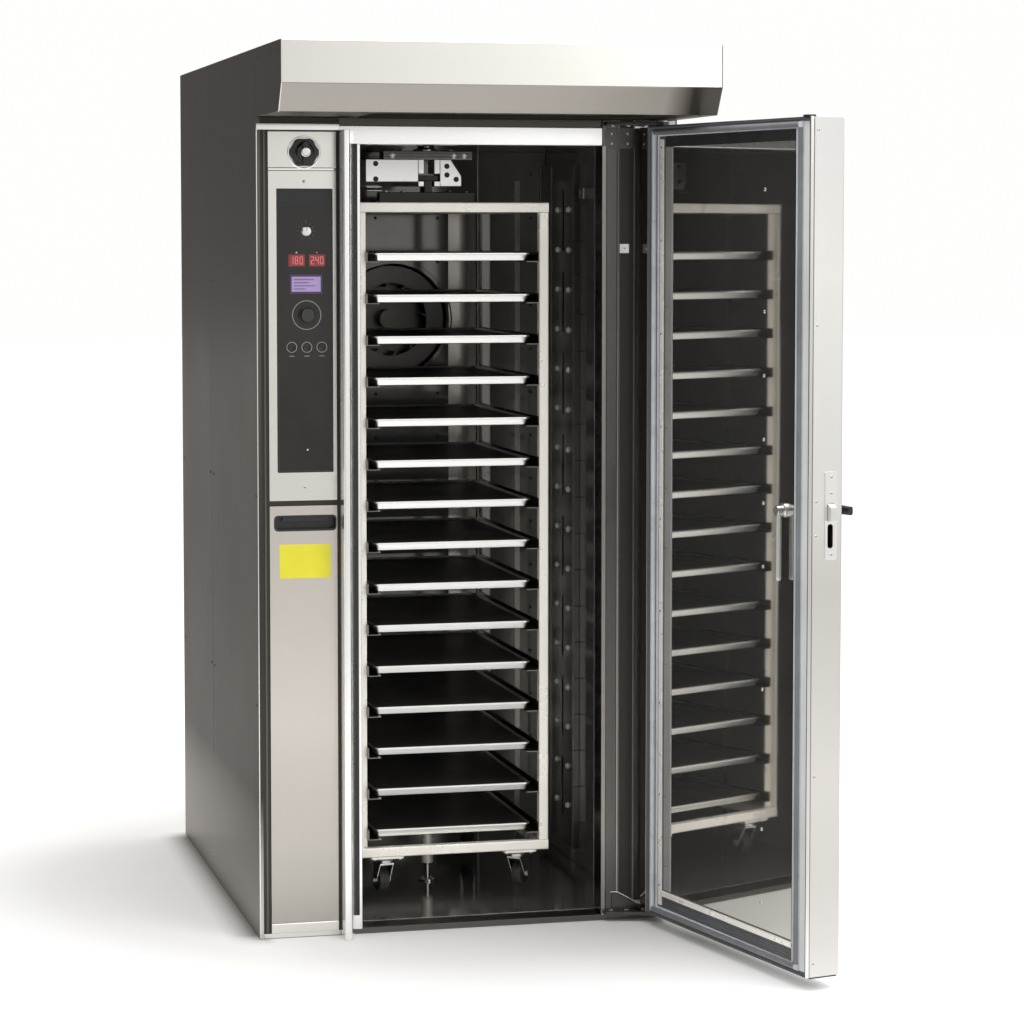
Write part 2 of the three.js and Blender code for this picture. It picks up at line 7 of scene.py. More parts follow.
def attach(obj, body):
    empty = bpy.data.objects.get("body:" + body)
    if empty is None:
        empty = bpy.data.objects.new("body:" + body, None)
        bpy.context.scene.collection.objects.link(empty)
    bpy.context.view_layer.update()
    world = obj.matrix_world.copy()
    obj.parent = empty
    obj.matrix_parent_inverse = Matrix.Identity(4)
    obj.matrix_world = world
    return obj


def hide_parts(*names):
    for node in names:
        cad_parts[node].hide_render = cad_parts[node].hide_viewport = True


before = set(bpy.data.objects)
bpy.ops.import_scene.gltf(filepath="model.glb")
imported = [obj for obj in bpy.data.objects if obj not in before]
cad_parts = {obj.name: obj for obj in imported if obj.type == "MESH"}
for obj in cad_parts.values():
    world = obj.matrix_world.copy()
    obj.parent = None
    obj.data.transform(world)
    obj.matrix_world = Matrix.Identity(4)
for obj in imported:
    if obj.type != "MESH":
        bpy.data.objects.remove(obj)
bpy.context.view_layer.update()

# Rotating rack oven: the finished look around the fixed construction.
# Lengths below are millimetres measured from the cabinet's front left bottom
# corner, as in the construction; MM turns them into the row frame's metres.
W, D, H = 1032.0, 1300.0, 2115.0
CX, CY = 516.0, 491.0
MM = Matrix.Translation((-W / 2000, -D / 2000, 0)) @ Matrix.Scale(0.001, 4)
PIN = Vector((979.0, -50.0, 0.0))
LEAF = Matrix.Translation(PIN) @ Matrix.Rotation(math.radians(102.5), 4, "Z") @ Matrix.Translation(-PIN)
scene = bpy.context.scene


# ------------------------------------------------------------------ materials
class Nodes:
    def __init__(self, name):
        self.m = bpy.data.materials.new(name)
        self.m.use_nodes = True
        self.t = self.m.node_tree
        self.b = self.t.nodes["Principled BSDF"]
        self.co = self.add("ShaderNodeTexCoord").outputs["Object"]

    def add(self, kind, **props):
        n = self.t.nodes.new(kind)
        for k, v in props.items():
            setattr(n, k, v)
        return n

    def link(self, a, b):
        self.t.links.new(a, b)

    def noise(self, scale, detail=3.0, rough=0.55, stretch=None, distortion=0.0):
        src = self.co
        if stretch:
            mp = self.add("ShaderNodeMapping")
            mp.inputs["Scale"].default_value = stretch
            self.link(self.co, mp.inputs["Vector"])
            src = mp.outputs["Vector"]
        n = self.add("ShaderNodeTexNoise")
        n.inputs["Scale"].default_value = scale
        n.inputs["Detail"].default_value = detail
        n.inputs["Roughness"].default_value = rough
        n.inputs["Distortion"].default_value = distortion
        self.link(src, n.inputs["Vector"])
        return n.outputs["Fac"]

    def math(self, op, a, b=None, c=None):
        n = self.add("ShaderNodeMath", operation=op)
        for i, v in enumerate((a, b, c)):
            if v is None:
                continue
            if isinstance(v, (int, float)):
                n.inputs[i].default_value = v
            else:
                self.link(v, n.inputs[i])
        return n.outputs[0]

    def remap(self, v, a, b, lo, hi):
        n = self.add("ShaderNodeMapRange")
        n.inputs["From Min"].default_value = a
        n.inputs["From Max"].default_value = b
        n.inputs["To Min"].default_value = lo
        n.inputs["To Max"].default_value = hi
        self.link(v, n.inputs["Value"])
        return n.outputs["Result"]

    def ramp(self, v, stops):
        n = self.add("ShaderNodeValToRGB")
        e = n.color_ramp.elements
        while len(e) < len(stops):
            e.new(0.5)
        for el, (p, c) in zip(e, stops):
            el.position = p
            el.color = (*c, 1.0)
        self.link(v, n.inputs["Fac"])
        return n.outputs["Color"]

    def bump(self, layers):
        prev = None
        for height, strength, distance in layers:
            n = self.add("ShaderNodeBump")
            n.inputs["Strength"].default_value = strength
            n.inputs["Distance"].default_value = distance
            self.link(height, n.inputs["Height"])
            if prev is not None:
                self.link(prev, n.inputs["Normal"])
            prev = n.outputs["Normal"]
        self.link(prev, self.b.inputs["Normal"])


def shade(c, k):
    return tuple(min(1.0, x * k) for x in c)


def metal(name, col, rough, brush="z", cvar=0.03, rvar=0.03, bump=0.045, fine=900.0, run=5.0, wave=0.0, wave_scale=2.2, stain=None, stain_amount=0.0, edge=None, metallic=1.0, foot_shading=None, foot_z=(0.62, 0.0), foot_axis="Z", head_shading=None, head_z=(1.2, 1.7), sole_shading=None, sole_z=(0.5, 0.1)):
    n = Nodes(name)
    st = {"x": (run, fine, fine), "y": (fine, run, fine), "z": (fine, fine, run), None: (fine, fine, fine)}[brush]
    streak = n.noise(1.0, 4.0, 0.62, stretch=st)
    cloud = n.noise(3.1, 5.0, 0.55, distortion=0.4)
    mixv = n.math("MULTIPLY_ADD", streak, 0.62, n.math("MULTIPLY", cloud, 0.38))
    stops = [(0.30, shade(col, 1 - cvar)), (0.50, col), (0.70, shade(col, 1 + cvar))]
    color = n.ramp(mixv, stops)
    if stain:
        patch = n.remap(n.noise(6.5, 6.0, 0.6, distortion=0.8), 0.48, 0.78, 0.0, stain_amount)
        mix = n.add("ShaderNodeMix", data_type="RGBA")
        mix.inputs["B"].default_value = (*stain, 1)
        n.link(patch, mix.inputs["Factor"])
        n.link(color, mix.inputs["A"])
        color = mix.outputs["Result"]
    # painted light and shade: each given tone ramps in towards one end of the part
    for tone, span, axis in ((foot_shading, foot_z, foot_axis), (head_shading, head_z, "Z"), (sole_shading, sole_z, "Z")):      # another tone towards one end
        if tone:
            sep = n.add("ShaderNodeSeparateXYZ")
            n.link(n.co, sep.inputs[0])
            mix = n.add("ShaderNodeMix", data_type="RGBA")
            mix.inputs["B"].default_value = (*tone, 1)
            n.link(n.remap(sep.outputs[axis], span[0], span[1], 0.0, 1.0), mix.inputs["Factor"])
            n.link(color, mix.inputs["A"])
            color = mix.outputs["Result"]
    n.link(color, n.b.inputs["Base Color"])
    n.link(n.remap(mixv, 0.32, 0.68, max(0.02, rough - rvar), rough + rvar), n.b.inputs["Roughness"])
    n.b.inputs["Metallic"].default_value = metallic
    if edge:
        n.b.inputs["Specular Tint"].default_value = (*edge, 1)
    layers = [(streak, bump, 0.0004)]
    if wave:
        layers.append((n.noise(wave_scale, 1.0, 0.4, distortion=0.2), wave, 0.01))
    n.bump(layers)
    return n.m


def paint(name, col, rough, cvar=0.06, grain=900.0, bump=0.12, dirt=(0.25, 0.17, 0.09), dirt_amount=0.0, coat=0.0, spec=0.5, metallic=0.0):
    n = Nodes(name)
    cloud = n.noise(5.0, 6.0, 0.6, distortion=0.3)
    color = n.ramp(cloud, [(0.3, shade(col, 1 - cvar)), (0.7, shade(col, 1 + cvar))])
    if dirt_amount:
        mix = n.add("ShaderNodeMix", data_type="RGBA")
        mix.inputs["B"].default_value = (*dirt, 1)
        n.link(n.remap(n.noise(22.0, 7.0, 0.65, distortion=1.0), 0.50, 0.80, 0.0, dirt_amount), mix.inputs["Factor"])
        n.link(color, mix.inputs["A"])
        color = mix.outputs["Result"]
    n.link(color, n.b.inputs["Base Color"])
    g = n.noise(grain, 2.0, 0.5)
    n.link(n.remap(n.noise(11.0, 4.0, 0.6), 0.3, 0.7, max(0.03, rough - 0.06), rough + 0.06), n.b.inputs["Roughness"])
    n.b.inputs["Metallic"].default_value = metallic
    n.b.inputs["Specular IOR Level"].default_value = spec
    n.b.inputs["Coat Weight"].default_value = coat
    n.b.inputs["Coat Roughness"].default_value = 0.12
    n.bump([(g, bump, 0.0005)])
    return n.m


def dark_glass(name, col, rough, ior, wave, smudge=0.03):
    n = Nodes(name)
    cloud = n.noise(4.0, 5.0, 0.6, distortion=0.6)
    n.link(n.ramp(cloud, [(0.3, shade(col, 0.8)), (0.7, shade(col, 1.25))]), n.b.inputs["Base Color"])
    n.link(n.remap(n.noise(14.0, 5.0, 0.62, distortion=1.2), 0.45, 0.75, rough, rough + smudge), n.b.inputs["Roughness"])
    n.b.inputs["IOR"].default_value = ior
    n.b.inputs["Specular IOR Level"].default_value = 0.5
    n.bump([(n.noise(1.9, 1.0, 0.3, distortion=0.15), wave, 0.01)])
    return n.m


def glow(name, col, strength, base, cell=None):
    n = Nodes(name)
    v = n.noise(260.0, 2.0, 0.5)
    n.link(n.ramp(v, [(0.3, shade(base, 0.85)), (0.7, base)]), n.b.inputs["Base Color"])
    glowc = n.ramp(n.noise(24.0, 2.0, 0.5), [(0.25, shade(col, 0.82)), (0.75, col)])
    if cell:
        br = n.add("ShaderNodeTexChecker")
        br.inputs["Scale"].default_value = cell
        br.inputs["Color1"].default_value = (1, 1, 1, 1)
        br.inputs["Color2"].default_value = (0.86, 0.86, 0.86, 1)
        n.link(n.co, br.inputs["Vector"])
        mix = n.add("ShaderNodeMix", data_type="RGBA", blend_type="MULTIPLY")
        mix.inputs["Factor"].default_value = 1.0
        n.link(glowc, mix.inputs["A"])
        n.link(br.outputs["Color"], mix.inputs["B"])
        glowc = mix.outputs["Result"]
    n.link(glowc, n.b.inputs["Emission Color"])
    n.b.inputs["Emission Strength"].default_value = strength
    n.link(n.remap(v, 0.3, 0.7, 0.18, 0.3), n.b.inputs["Roughness"])
    return n.m


STEEL_X = metal("stainless_brushed_across", (0.78, 0.765, 0.73), 0.21, "x")
STEEL_Z = metal("stainless_brushed_upright", (0.64, 0.605, 0.565), 0.22, "z")
EDGE = metal("stainless_edge_bright", (0.70, 0.695, 0.68), 0.22, "z")
# painted shade: the door end steel is darkened on its lower half, towards its top and most at its very bottom
DOOR_END = metal("door_end_steel", (0.855, 0.85, 0.835), 0.24, "z", foot_shading=(0.74, 0.72, 0.695), foot_z=(1.10, 0.90), head_shading=(0.58, 0.575, 0.565), head_z=(1.58, 1.95), sole_shading=(0.57, 0.55, 0.535), sole_z=(0.48, 0.10))
WHITE_STEEL = metal("header_bright_steel", (0.96, 0.955, 0.945), 0.20, "x", cvar=0.02)
STEEL_Y = metal("stainless_brushed_deep", (0.70, 0.69, 0.67), 0.26, "y")
BRIGHT = metal("stainless_polished", (0.83, 0.82, 0.80), 0.12, None, bump=0.03, fine=300.0)
# painted light: the dark side panel steel is lightened towards the bottom and towards the top
PANEL = metal("side_panel_dark_steel", (0.056, 0.0525, 0.050), 0.30, "z", cvar=0.03, rvar=0.03, run=3.0, edge=(0.38, 0.36, 0.345), metallic=0.92, foot_shading=(0.60, 0.578, 0.556), foot_z=(0.34, 0.05), head_shading=(0.132, 0.124, 0.117), head_z=(0.95, 1.58))
RECESS_DARK = metal("column_recess_steel", (0.060, 0.056, 0.050), 0.34, "z")
RECESS = metal("dark_recess_steel", (0.13, 0.125, 0.115), 0.30, "z")
BEAD = metal("post_bead_steel", (0.30, 0.288, 0.275), 0.24, "z", cvar=0.08)
# painted shade: the service door steel is darkened towards its bottom
SERVICE = metal("service_door_steel", (0.64, 0.605, 0.565), 0.22, "z", foot_shading=(0.46, 0.435, 0.40), foot_z=(0.52, 0.18))
POST = metal("post_steel", (0.125, 0.117, 0.111), 0.20, "z", cvar=0.10)
LUG = metal("hinge_lug_steel", (0.11, 0.105, 0.098), 0.26, None, cvar=0.12, fine=160.0)
# painted shade: the hood's steel, darker on the down-facing lower slope than on the skin and darkest at the right end
CHAMFER = metal("hood_lower_steel", (0.385, 0.362, 0.335), 0.32, "x", foot_shading=(0.045, 0.041, 0.037), foot_z=(0.385, 0.45), foot_axis="X")
# painted shade: near-black steel for the hood's underside
UNDER = metal("hood_underside_steel", (0.042, 0.037, 0.030), 0.46, "x", cvar=0.08)
MIRROR = metal("door_frame_polished", (0.34, 0.335, 0.32), 0.045, "z", cvar=0.05, rvar=0.01, bump=0.01, wave=0.05, wave_scale=1.8)
LINER = metal("chamber_liner_polished", (0.205, 0.192, 0.178), 0.07, "z", cvar=0.10, rvar=0.04, bump=0.02, wave=0.03, metallic=0.35, stain=(0.07, 0.055, 0.04), stain_amount=0.35)
FLOORM = metal("chamber_floor_polished", (0.44, 0.43, 0.41), 0.11, "y", cvar=0.10, rvar=0.03, bump=0.02, wave=0.04, metallic=0.88)
DUCT = metal("duct_panel_steel", (0.19, 0.183, 0.17), 0.18, "z", cvar=0.08, bump=0.03, wave=0.015, stain=(0.09, 0.07, 0.05), stain_amount=0.3)
GALV = metal("galvanised_steel", (0.55, 0.57, 0.58), 0.42, None, cvar=0.16, fine=60.0, bump=0.05)
ALU = metal("tray_aluminium", (0.93, 0.925, 0.91), 0.30, "x", cvar=0.03, rvar=0.05, stain=(0.62, 0.54, 0.44), stain_amount=0.10)
# painted shade: near-black inner faces of the trays stand for the shade between the stacked trays; the mottling is
# baked-on residue
TRAY_INNER_SHADE = paint("tray_dark_coating", (0.030, 0.026, 0.023), 0.46, cvar=0.22, grain=500.0, bump=0.12, dirt=(0.085, 0.058, 0.036), dirt_amount=0.5)
KNOB_ALU = metal("turned_aluminium", (0.84, 0.83, 0.81), 0.22, None, fine=400.0, bump=0.05)
CREAM = paint("rack_satin_steel", (0.94, 0.905, 0.835), 0.30, cvar=0.03, dirt_amount=0.05, coat=0.25, metallic=0.25)
RUNNER = metal("runner_steel", (0.20, 0.19, 0.175), 0.26, "y", cvar=0.10)
RAIL = metal("rail_bright_steel", (0.98, 0.975, 0.96), 0.30, "x", cvar=0.02)
FORK = metal("fork_zinc", (0.62, 0.62, 0.61), 0.24, None, cvar=0.08, fine=120.0, bump=0.05)
BLACK = paint("black_plastic", (0.018, 0.018, 0.020), 0.38, cvar=0.2, bump=0.25)
BLACK_SOFT = paint("black_moulding", (0.012, 0.012, 0.013), 0.30, cvar=0.2, bump=0.15)
GREY_PAINT = paint("pane_channel_coating", (0.32, 0.317, 0.308), 0.38, cvar=0.14, grain=420.0, bump=0.10, metallic=0.2)
PALE = paint("end_strip_satin", (0.62, 0.625, 0.63), 0.36, cvar=0.08, grain=420.0, bump=0.10)
BOLT = paint("bolt_bright_zinc", (0.97, 0.96, 0.93), 0.24, cvar=0.04, metallic=0.0)
GREY_CAP = paint("grey_cap", (0.62, 0.62, 0.60), 0.35, bump=0.1)
TYRE = paint("wheel_rubber", (0.022, 0.022, 0.023), 0.55, cvar=0.25, bump=0.3, dirt=(0.12, 0.10, 0.08), dirt_amount=0.25)
RUBBER = paint("gasket_silicone", (0.50, 0.515, 0.55), 0.40, cvar=0.10, grain=500.0, bump=0.2, dirt=(0.10, 0.10, 0.11), dirt_amount=0.35)
RUBBER_MID = paint("gasket_silicone_darker", (0.165, 0.169, 0.178), 0.42, cvar=0.16, grain=500.0, bump=0.2, dirt=(0.06, 0.06, 0.065), dirt_amount=0.35)
RUBBER_DARK = paint("gasket_silicone_dark", (0.085, 0.088, 0.095), 0.45, cvar=0.15, grain=500.0, bump=0.2)
# painted light: the mirrored inner glass is lighter towards the bottom
GLASS_IN = metal("door_glass_mirrored", (0.56, 0.55, 0.525), 0.03, None, cvar=0.04, rvar=0.012, bump=0.004, fine=40.0, wave=0.06, wave_scale=1.6, metallic=0.955, foot_shading=(0.74, 0.72, 0.68), foot_z=(0.66, 0.34))
GLASS_OUT = dark_glass("door_glass_outer", (0.010, 0.010, 0.011), 0.02, 1.7, 0.03)
GLASS_CTRL = dark_glass("control_glass_black", (0.017, 0.0145, 0.0125), 0.10, 1.45, 0.01, smudge=0.08)
BORDER = dark_glass("enamel_border", (0.008, 0.008, 0.008), 0.05, 2.0, 0.05)
LED_WIN = dark_glass("display_window_red", (0.235, 0.030, 0.038), 0.12, 1.5, 0.01)
LED_RED = glow("display_digit_red", (0.78, 0.27, 0.27), 0.52, (0.5, 0.08, 0.08))
LCD = glow("display_violet", (0.335, 0.25, 0.45), 0.76, (0.16, 0.12, 0.24), cell=420.0)
LCD_MARK = paint("display_mark", (0.17, 0.12, 0.26), 0.3, cvar=0.2)
FACE_GREY = metal("knob_face_grey", (0.075, 0.075, 0.072), 0.3, None, cvar=0.08, fine=200.0)
LCD_RIM = paint("display_rim", (0.05, 0.03, 0.09), 0.3, cvar=0.2)
PRINT = paint("panel_print_grey", (0.30, 0.30, 0.285), 0.4, cvar=0.15, bump=0.05)
PRINT_DIM = paint("panel_print_dim", (0.095, 0.093, 0.088), 0.4, cvar=0.15, bump=0.05)
YELLOW = paint("blank_yellow_sticker", (0.63, 0.575, 0.022), 0.42, cvar=0.10, grain=60.0, bump=0.35)
MACHINE = paint("machine_paint", (0.10, 0.155, 0.20), 0.42, cvar=0.12, dirt_amount=0.25, coat=0.2)
WOOL = paint("mineral_wool", (0.62, 0.55, 0.36), 0.9, cvar=0.25, grain=120.0, bump=1.0, spec=0.2)
BAR = metal("tee_bar_dark", (0.045, 0.042, 0.038), 0.30, "x", cvar=0.15)


# ------------------------------------------------------------------ mesh tools
def arc(cx, cy, r, a0, a1, n):
    return [(cx + r * math.cos(math.radians(a0 + (a1 - a0) * i / n)), cy + r * math.sin(math.radians(a0 + (a1 - a0) * i / n))) for i in range(n + 1)]


def rrect(x0, x1, y0, y1, r, n=5):
    r = min(r, (x1 - x0) / 2 - 1e-3, (y1 - y0) / 2 - 1e-3)
    return (arc(x1 - r, y0 + r, r, -90, 0, n) + arc(x1 - r, y1 - r, r, 0, 90, n)
            + arc(x0 + r, y1 - r, r, 90, 180, n) + arc(x0 + r, y0 + r, r, 180, 270, n))


def circle(cx, cy, r, n=24, a0=0.0):
    return [(cx + r * math.cos(a0 + 2 * math.pi * i / n), cy + r * math.sin(a0 + 2 * math.pi * i / n)) for i in range(n)]


def aim(p, n):
    q = Vector((0, 0, 1)).rotation_difference(Vector(n).normalized())
    return Matrix.Translation(Vector(p)) @ q.to_matrix().to_4x4()


def offset_line(pts, t):
    """The open line's points moved t to its left side, mitred."""
    out = []
    for i, p in enumerate(pts):
        p = Vector((*p, 0))
        d0 = (p - Vector((*pts[i - 1], 0))).normalized() if i > 0 else None
        d1 = (Vector((*pts[i + 1], 0)) - p).normalized() if i < len(pts) - 1 else None
        d0, d1 = d0 or d1, d1 or d0
        n0, n1 = Vector((-d0.y, d0.x, 0)), Vector((-d1.y, d1.x, 0))
        m = (n0 + n1).normalized()
        k = t / max(0.3, m.dot(n0))
        q = p + m * k
        out.append((q.x, q.y))
    return out


def fillet(pts, r, n=4):
    """The open line with its inner corners rounded by r."""
    out = [pts[0]]
    for i in range(1, len(pts) - 1):
        p, a, b = Vector(pts[i]), Vector(pts[i - 1]), Vector(pts[i + 1])
        da, db = (a - p), (b - p)
        la, lb = da.length, db.length
        da.normalize(), db.normalize()
        ang = da.angle(db)
        if ang > math.radians(175):
            out.append(pts[i])
            continue
        k = min(r / math.tan(ang / 2), la * 0.45, lb * 0.45)
        s, e = p + da * k, p + db * k
        for j in range(n + 1):
            u = j / n
            q = s * (1 - u) ** 2 + p * 2 * u * (1 - u) + e * u ** 2
            out.append((q.x, q.y))
    out.append(pts[-1])
    return out


class Build:
    def __init__(self):
        self.bm = bmesh.new()

    def take(self, t, bevel=0.0, seg=2, mat=0, xf=None, angle=28.0, keep=False):
        bmesh.ops.remove_doubles(t, verts=t.verts, dist=1e-4)
        bmesh.ops.recalc_face_normals(t, faces=t.faces)
        if bevel > 0:
            es = [e for e in t.edges if len(e.link_faces) == 2 and e.calc_face_angle(0.0) > math.radians(angle)]
            bmesh.ops.bevel(t, geom=es, offset=bevel, offset_type="OFFSET", segments=seg, profile=0.5, affect="EDGES", clamp_overlap=True)
        if not keep:
            for f in t.faces:
                f.material_index = mat
        if xf is not None:
            bmesh.ops.transform(t, matrix=xf, verts=t.verts)
        me = bpy.data.meshes.new("tmp")
        t.to_mesh(me)
        t.free()
        self.bm.from_mesh(me)
        bpy.data.meshes.remove(me)
        return self

    def box(self, x0, x1, y0, y1, z0, z1, bevel=0.0, seg=2, mat=0, xf=None):
        t = bmesh.new()
        v = [t.verts.new(c) for c in ((x0, y0, z0), (x1, y0, z0), (x1, y1, z0), (x0, y1, z0),
                                      (x0, y0, z1), (x1, y0, z1), (x1, y1, z1), (x0, y1, z1))]
        for f in ((0, 3, 2, 1), (4, 5, 6, 7), (0, 1, 5, 4), (1, 2, 6, 5), (2, 3, 7, 6), (3, 0, 4, 7)):
            t.faces.new([v[i] for i in f])
        return self.take(t, bevel, seg, mat, xf)

    def lathe(self, prof, axis="z", c=(0, 0), seg=32, mat=0, xf=None, a0=0.0):
        def pt(u, v, h):
            if axis == "z":
                return (c[0] + u, c[1] + v, h)
            if axis == "y":
                return (c[0] + u, h, c[1] + v)
            return (h, c[0] + u, c[1] + v)
        t = bmesh.new()
        rings = []
        for r, h in prof:
            if r < 1e-6:
                rings.append([t.verts.new(pt(0, 0, h))])
            else:
                rings.append([t.verts.new(pt(r * math.cos(a0 + 2 * math.pi * i / seg), r * math.sin(a0 + 2 * math.pi * i / seg), h)) for i in range(seg)])
        pairs = list(zip(rings, rings[1:]))
        if len(rings[0]) > 1 and len(rings[-1]) > 1:
            pairs.append((rings[-1], rings[0]))
        for a, b in pairs:
            for i in range(seg):
                j = (i + 1) % seg
                if len(a) == 1 and len(b) == 1:
                    continue
                if len(a) == 1:
                    t.faces.new((a[0], b[i], b[j]))
                elif len(b) == 1:
                    t.faces.new((a[i], b[0], a[j]))
                else:
                    t.faces.new((a[i], b[i], b[j], a[j]))
        return self.take(t, 0, 2, mat, xf)

    def cyl(self, axis, p, q, a, b, r, seg=28, bevel=0.0, mat=0, xf=None, r2=None, a0=0.0):
        r2 = r if r2 is None else r2
        c = bevel
        prof = [(0, a)]
        if c:
            prof += [(r - c, a), (r - c * 0.29, a + c * 0.29), (r, a + c), (r2, b - c), (r2 - c * 0.29, b - c * 0.29), (r2 - c, b)]
        else:
            prof += [(r, a), (r2, b)]
        prof += [(0, b)]
        return self.lathe(prof, axis, (p, q), seg, mat, xf, a0)

    def plate(self, outer, holes=(), axis="z", a=0.0, b=1.0, bevel=0.0, seg=2, mat=0, xf=None, angle=28.0):
        """An outline with holes, drawn along an axis: z from (x, y), x from (y, z), y from (x, z)."""
        def pt(u, v, h):
            return {"z": (u, v, h), "x": (h, u, v), "y": (u, h, v)}[axis]
        t = bmesh.new()
        es = []
        for loop in (outer, *holes):
            vs = [t.verts.new(pt(u, v, a)) for u, v in loop]
            es += [t.edges.new((vs[i], vs[(i + 1) % len(vs)])) for i in range(len(vs))]
        if not holes:
            t.faces.new([v for v in t.verts])
        else:
            bmesh.ops.triangle_fill(t, use_beauty=True, use_dissolve=False, edges=es)
        faces = list(t.faces)
        r = bmesh.ops.extrude_face_region(t, geom=faces)
        vs = [g for g in r["geom"] if isinstance(g, bmesh.types.BMVert)]
        d = {"z": (0, 0, b - a), "x": (b - a, 0, 0), "y": (0, b - a, 0)}[axis]
        bmesh.ops.translate(t, verts=vs, vec=Vector(d))
        if bevel > 0:
            bmesh.ops.recalc_face_normals(t, faces=t.faces)
            bmesh.ops.dissolve_limit(t, angle_limit=0.01, verts=t.verts, edges=t.edges)
        return self.take(t, bevel, seg, mat, xf, angle)

    def sheet(self, pts, thick, axis, a, b, radius=3.0, bevel=0.4, mat=0, xf=None, n=4):
        """A folded sheet: an open line with a thickness to its left, drawn along an axis."""
        line = fillet(pts, radius, n) if radius else pts
        other = offset_line(line, thick)
        return self.plate(line + other[::-1], (), axis, a, b, bevel, 1, mat, xf, angle=40.0)

    def rim(self, prof, x0, x1, z0, z1, mat=0, xf=None, plane="xz"):
        """A closed section swept round a rectangle with mitred corners; the section is (inwards, across)."""
        t = bmesh.new()
        rings = []
        for cx, cz, sx, sz in ((x0, z0, 1, 1), (x1, z0, -1, 1), (x1, z1, -1, -1), (x0, z1, 1, -1)):
            rings.append([t.verts.new((cx + sx * u, v, cz + sz * u) if plane == "xz" else (cx + sx * u, cz + sz * u, v)) for u, v in prof])
        m = len(prof)
        for k in range(4):
            A, B = rings[k], rings[(k + 1) % 4]
            for i in range(m):
                j = (i + 1) % m
                t.faces.new((A[i], B[i], B[j], A[j]))
        return self.take(t, 0, 2, mat, xf)

    def tube(self, pts, r, seg=12, mat=0, xf=None, flat=1.0, up=(0, 0, 1), cap=True):
        """A round bar along points; flat squeezes it along up."""
        P = [Vector(p) for p in pts]
        t = bmesh.new()
        rings = []
        u = Vector(up)
        for i, p in enumerate(P):
            d = ((P[i + 1] - p) if i < len(P) - 1 else (p - P[i - 1])).normalized()
            if 0 < i < len(P) - 1:
                d = ((P[i + 1] - p).normalized() + (p - P[i - 1]).normalized()).normalized()
            s = d.cross(u)
            if s.length < 1e-3:
                s = d.cross(Vector((1, 0, 0)))
            s.normalize()
            w = s.cross(d).normalized()
            rr = r[i] if isinstance(r, (list, tuple)) else r
            rings.append([t.verts.new(p + s * rr * math.cos(2 * math.pi * k / seg) + w * rr * flat * math.sin(2 * math.pi * k / seg)) for k in range(seg)])
        for A, B in zip(rings, rings[1:]):
            for k in range(seg):
                j = (k + 1) % seg
                t.faces.new((A[k], B[k], B[j], A[j]))
        if cap:
            t.faces.new(rings[0]), t.faces.new(rings[-1])
        return self.take(t, 0, 2, mat, xf)

    def loft(self, loops, mat=0, xf=None, closed=False):
        """Closed loops of equal length joined in turn; the first and last are filled unless closed."""
        t = bmesh.new()
        rings = [[t.verts.new(p) for p in lp] for lp in loops]
        n = len(rings[0])
        pairs = list(zip(rings, rings[1:])) + ([(rings[-1], rings[0])] if closed else [])
        for A, B in pairs:
            for k in range(n):
                j = (k + 1) % n
                t.faces.new((A[k], B[k], B[j], A[j]))
        if not closed:
            t.faces.new(rings[0]), t.faces.new(rings[-1])
        return self.take(t, 0, 2, mat, xf)

    # fasteners
    def pan(self, p, n, r=4.0, h=1.8, mat=0, slot=1, xf=None):
        m = aim(p, n)
        m = xf @ m if xf is not None else m
        prof = [(0, 0), (r, 0), (r, h * 0.35), (r * 0.86, h * 0.78), (r * 0.6, h), (0, h)]
        self.lathe(prof, "z", (0, 0), 16, mat, m)
        s = r * 0.52
        self.box(-s, s, -r * 0.11, r * 0.11, h * 0.9, h + 0.12, mat=slot, xf=m)
        self.box(-r * 0.11, r * 0.11, -s, s, h * 0.9, h + 0.13, mat=slot, xf=m)
        return self

    def hexbolt(self, p, n, r=5.5, h=4.0, mat=0, xf=None, turn=0.2):
        m = aim(p, n)
        m = xf @ m if xf is not None else m
        self.lathe([(0, 0), (r * 1.3, 0), (r * 1.3, 0.9), (r * 1.2, 1.1), (0, 1.1)], "z", (0, 0), 20, mat, m)
        self.lathe([(0, 1.0), (r, 1.0), (r, h - 0.7), (r * 0.86, h), (r * 0.45, h + 0.02), (0, h + 0.02)], "z", (0, 0), 6, mat, m, turn)
        return self

    def piece(self, name, mats, body, replaces=(), leaf=False, smooth=34.0, weighted=True):
        me = bpy.data.meshes.new(name)
        bmesh.ops.transform(self.bm, matrix=MM @ (LEAF if leaf else Matrix.Identity(4)), verts=self.bm.verts)
        self.bm.to_mesh(me)
        self.bm.free()
        for m in (mats if isinstance(mats, (list, tuple)) else [mats]):
            me.materials.append(m)
        for p in me.polygons:
            p.use_smooth = True
        me.set_sharp_from_angle(angle=math.radians(smooth))
        o = bpy.data.objects.new(name, me)
        scene.collection.objects.link(o)
        if weighted:
            w = o.modifiers.new("weighted", "WEIGHTED_NORMAL")
            w.keep_sharp = True
            w.weight = 60
        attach(o, body)
        if replaces:
            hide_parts(*([replaces] if isinstance(replaces, str) else replaces))
        return o


def finish_cad(node, mat, bevel=0.0008):
    """A construction node that keeps its own shape: softened edges and a better finish."""
    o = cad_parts[node]
    o.data.materials.clear()
    o.data.materials.append(mat)
    for p in o.data.polygons:
        p.use_smooth = False
    weld = o.modifiers.new("weld", "WELD")
    weld.merge_threshold = 0.00002
    if bevel:
        b = o.modifiers.new("edge", "BEVEL")
        b.width = bevel
        b.segments = 2
        b.limit_method = "ANGLE"
        b.angle_limit = math.radians(35)
        b.use_clamp_overlap = True
        b.harden_normals = False
    return o


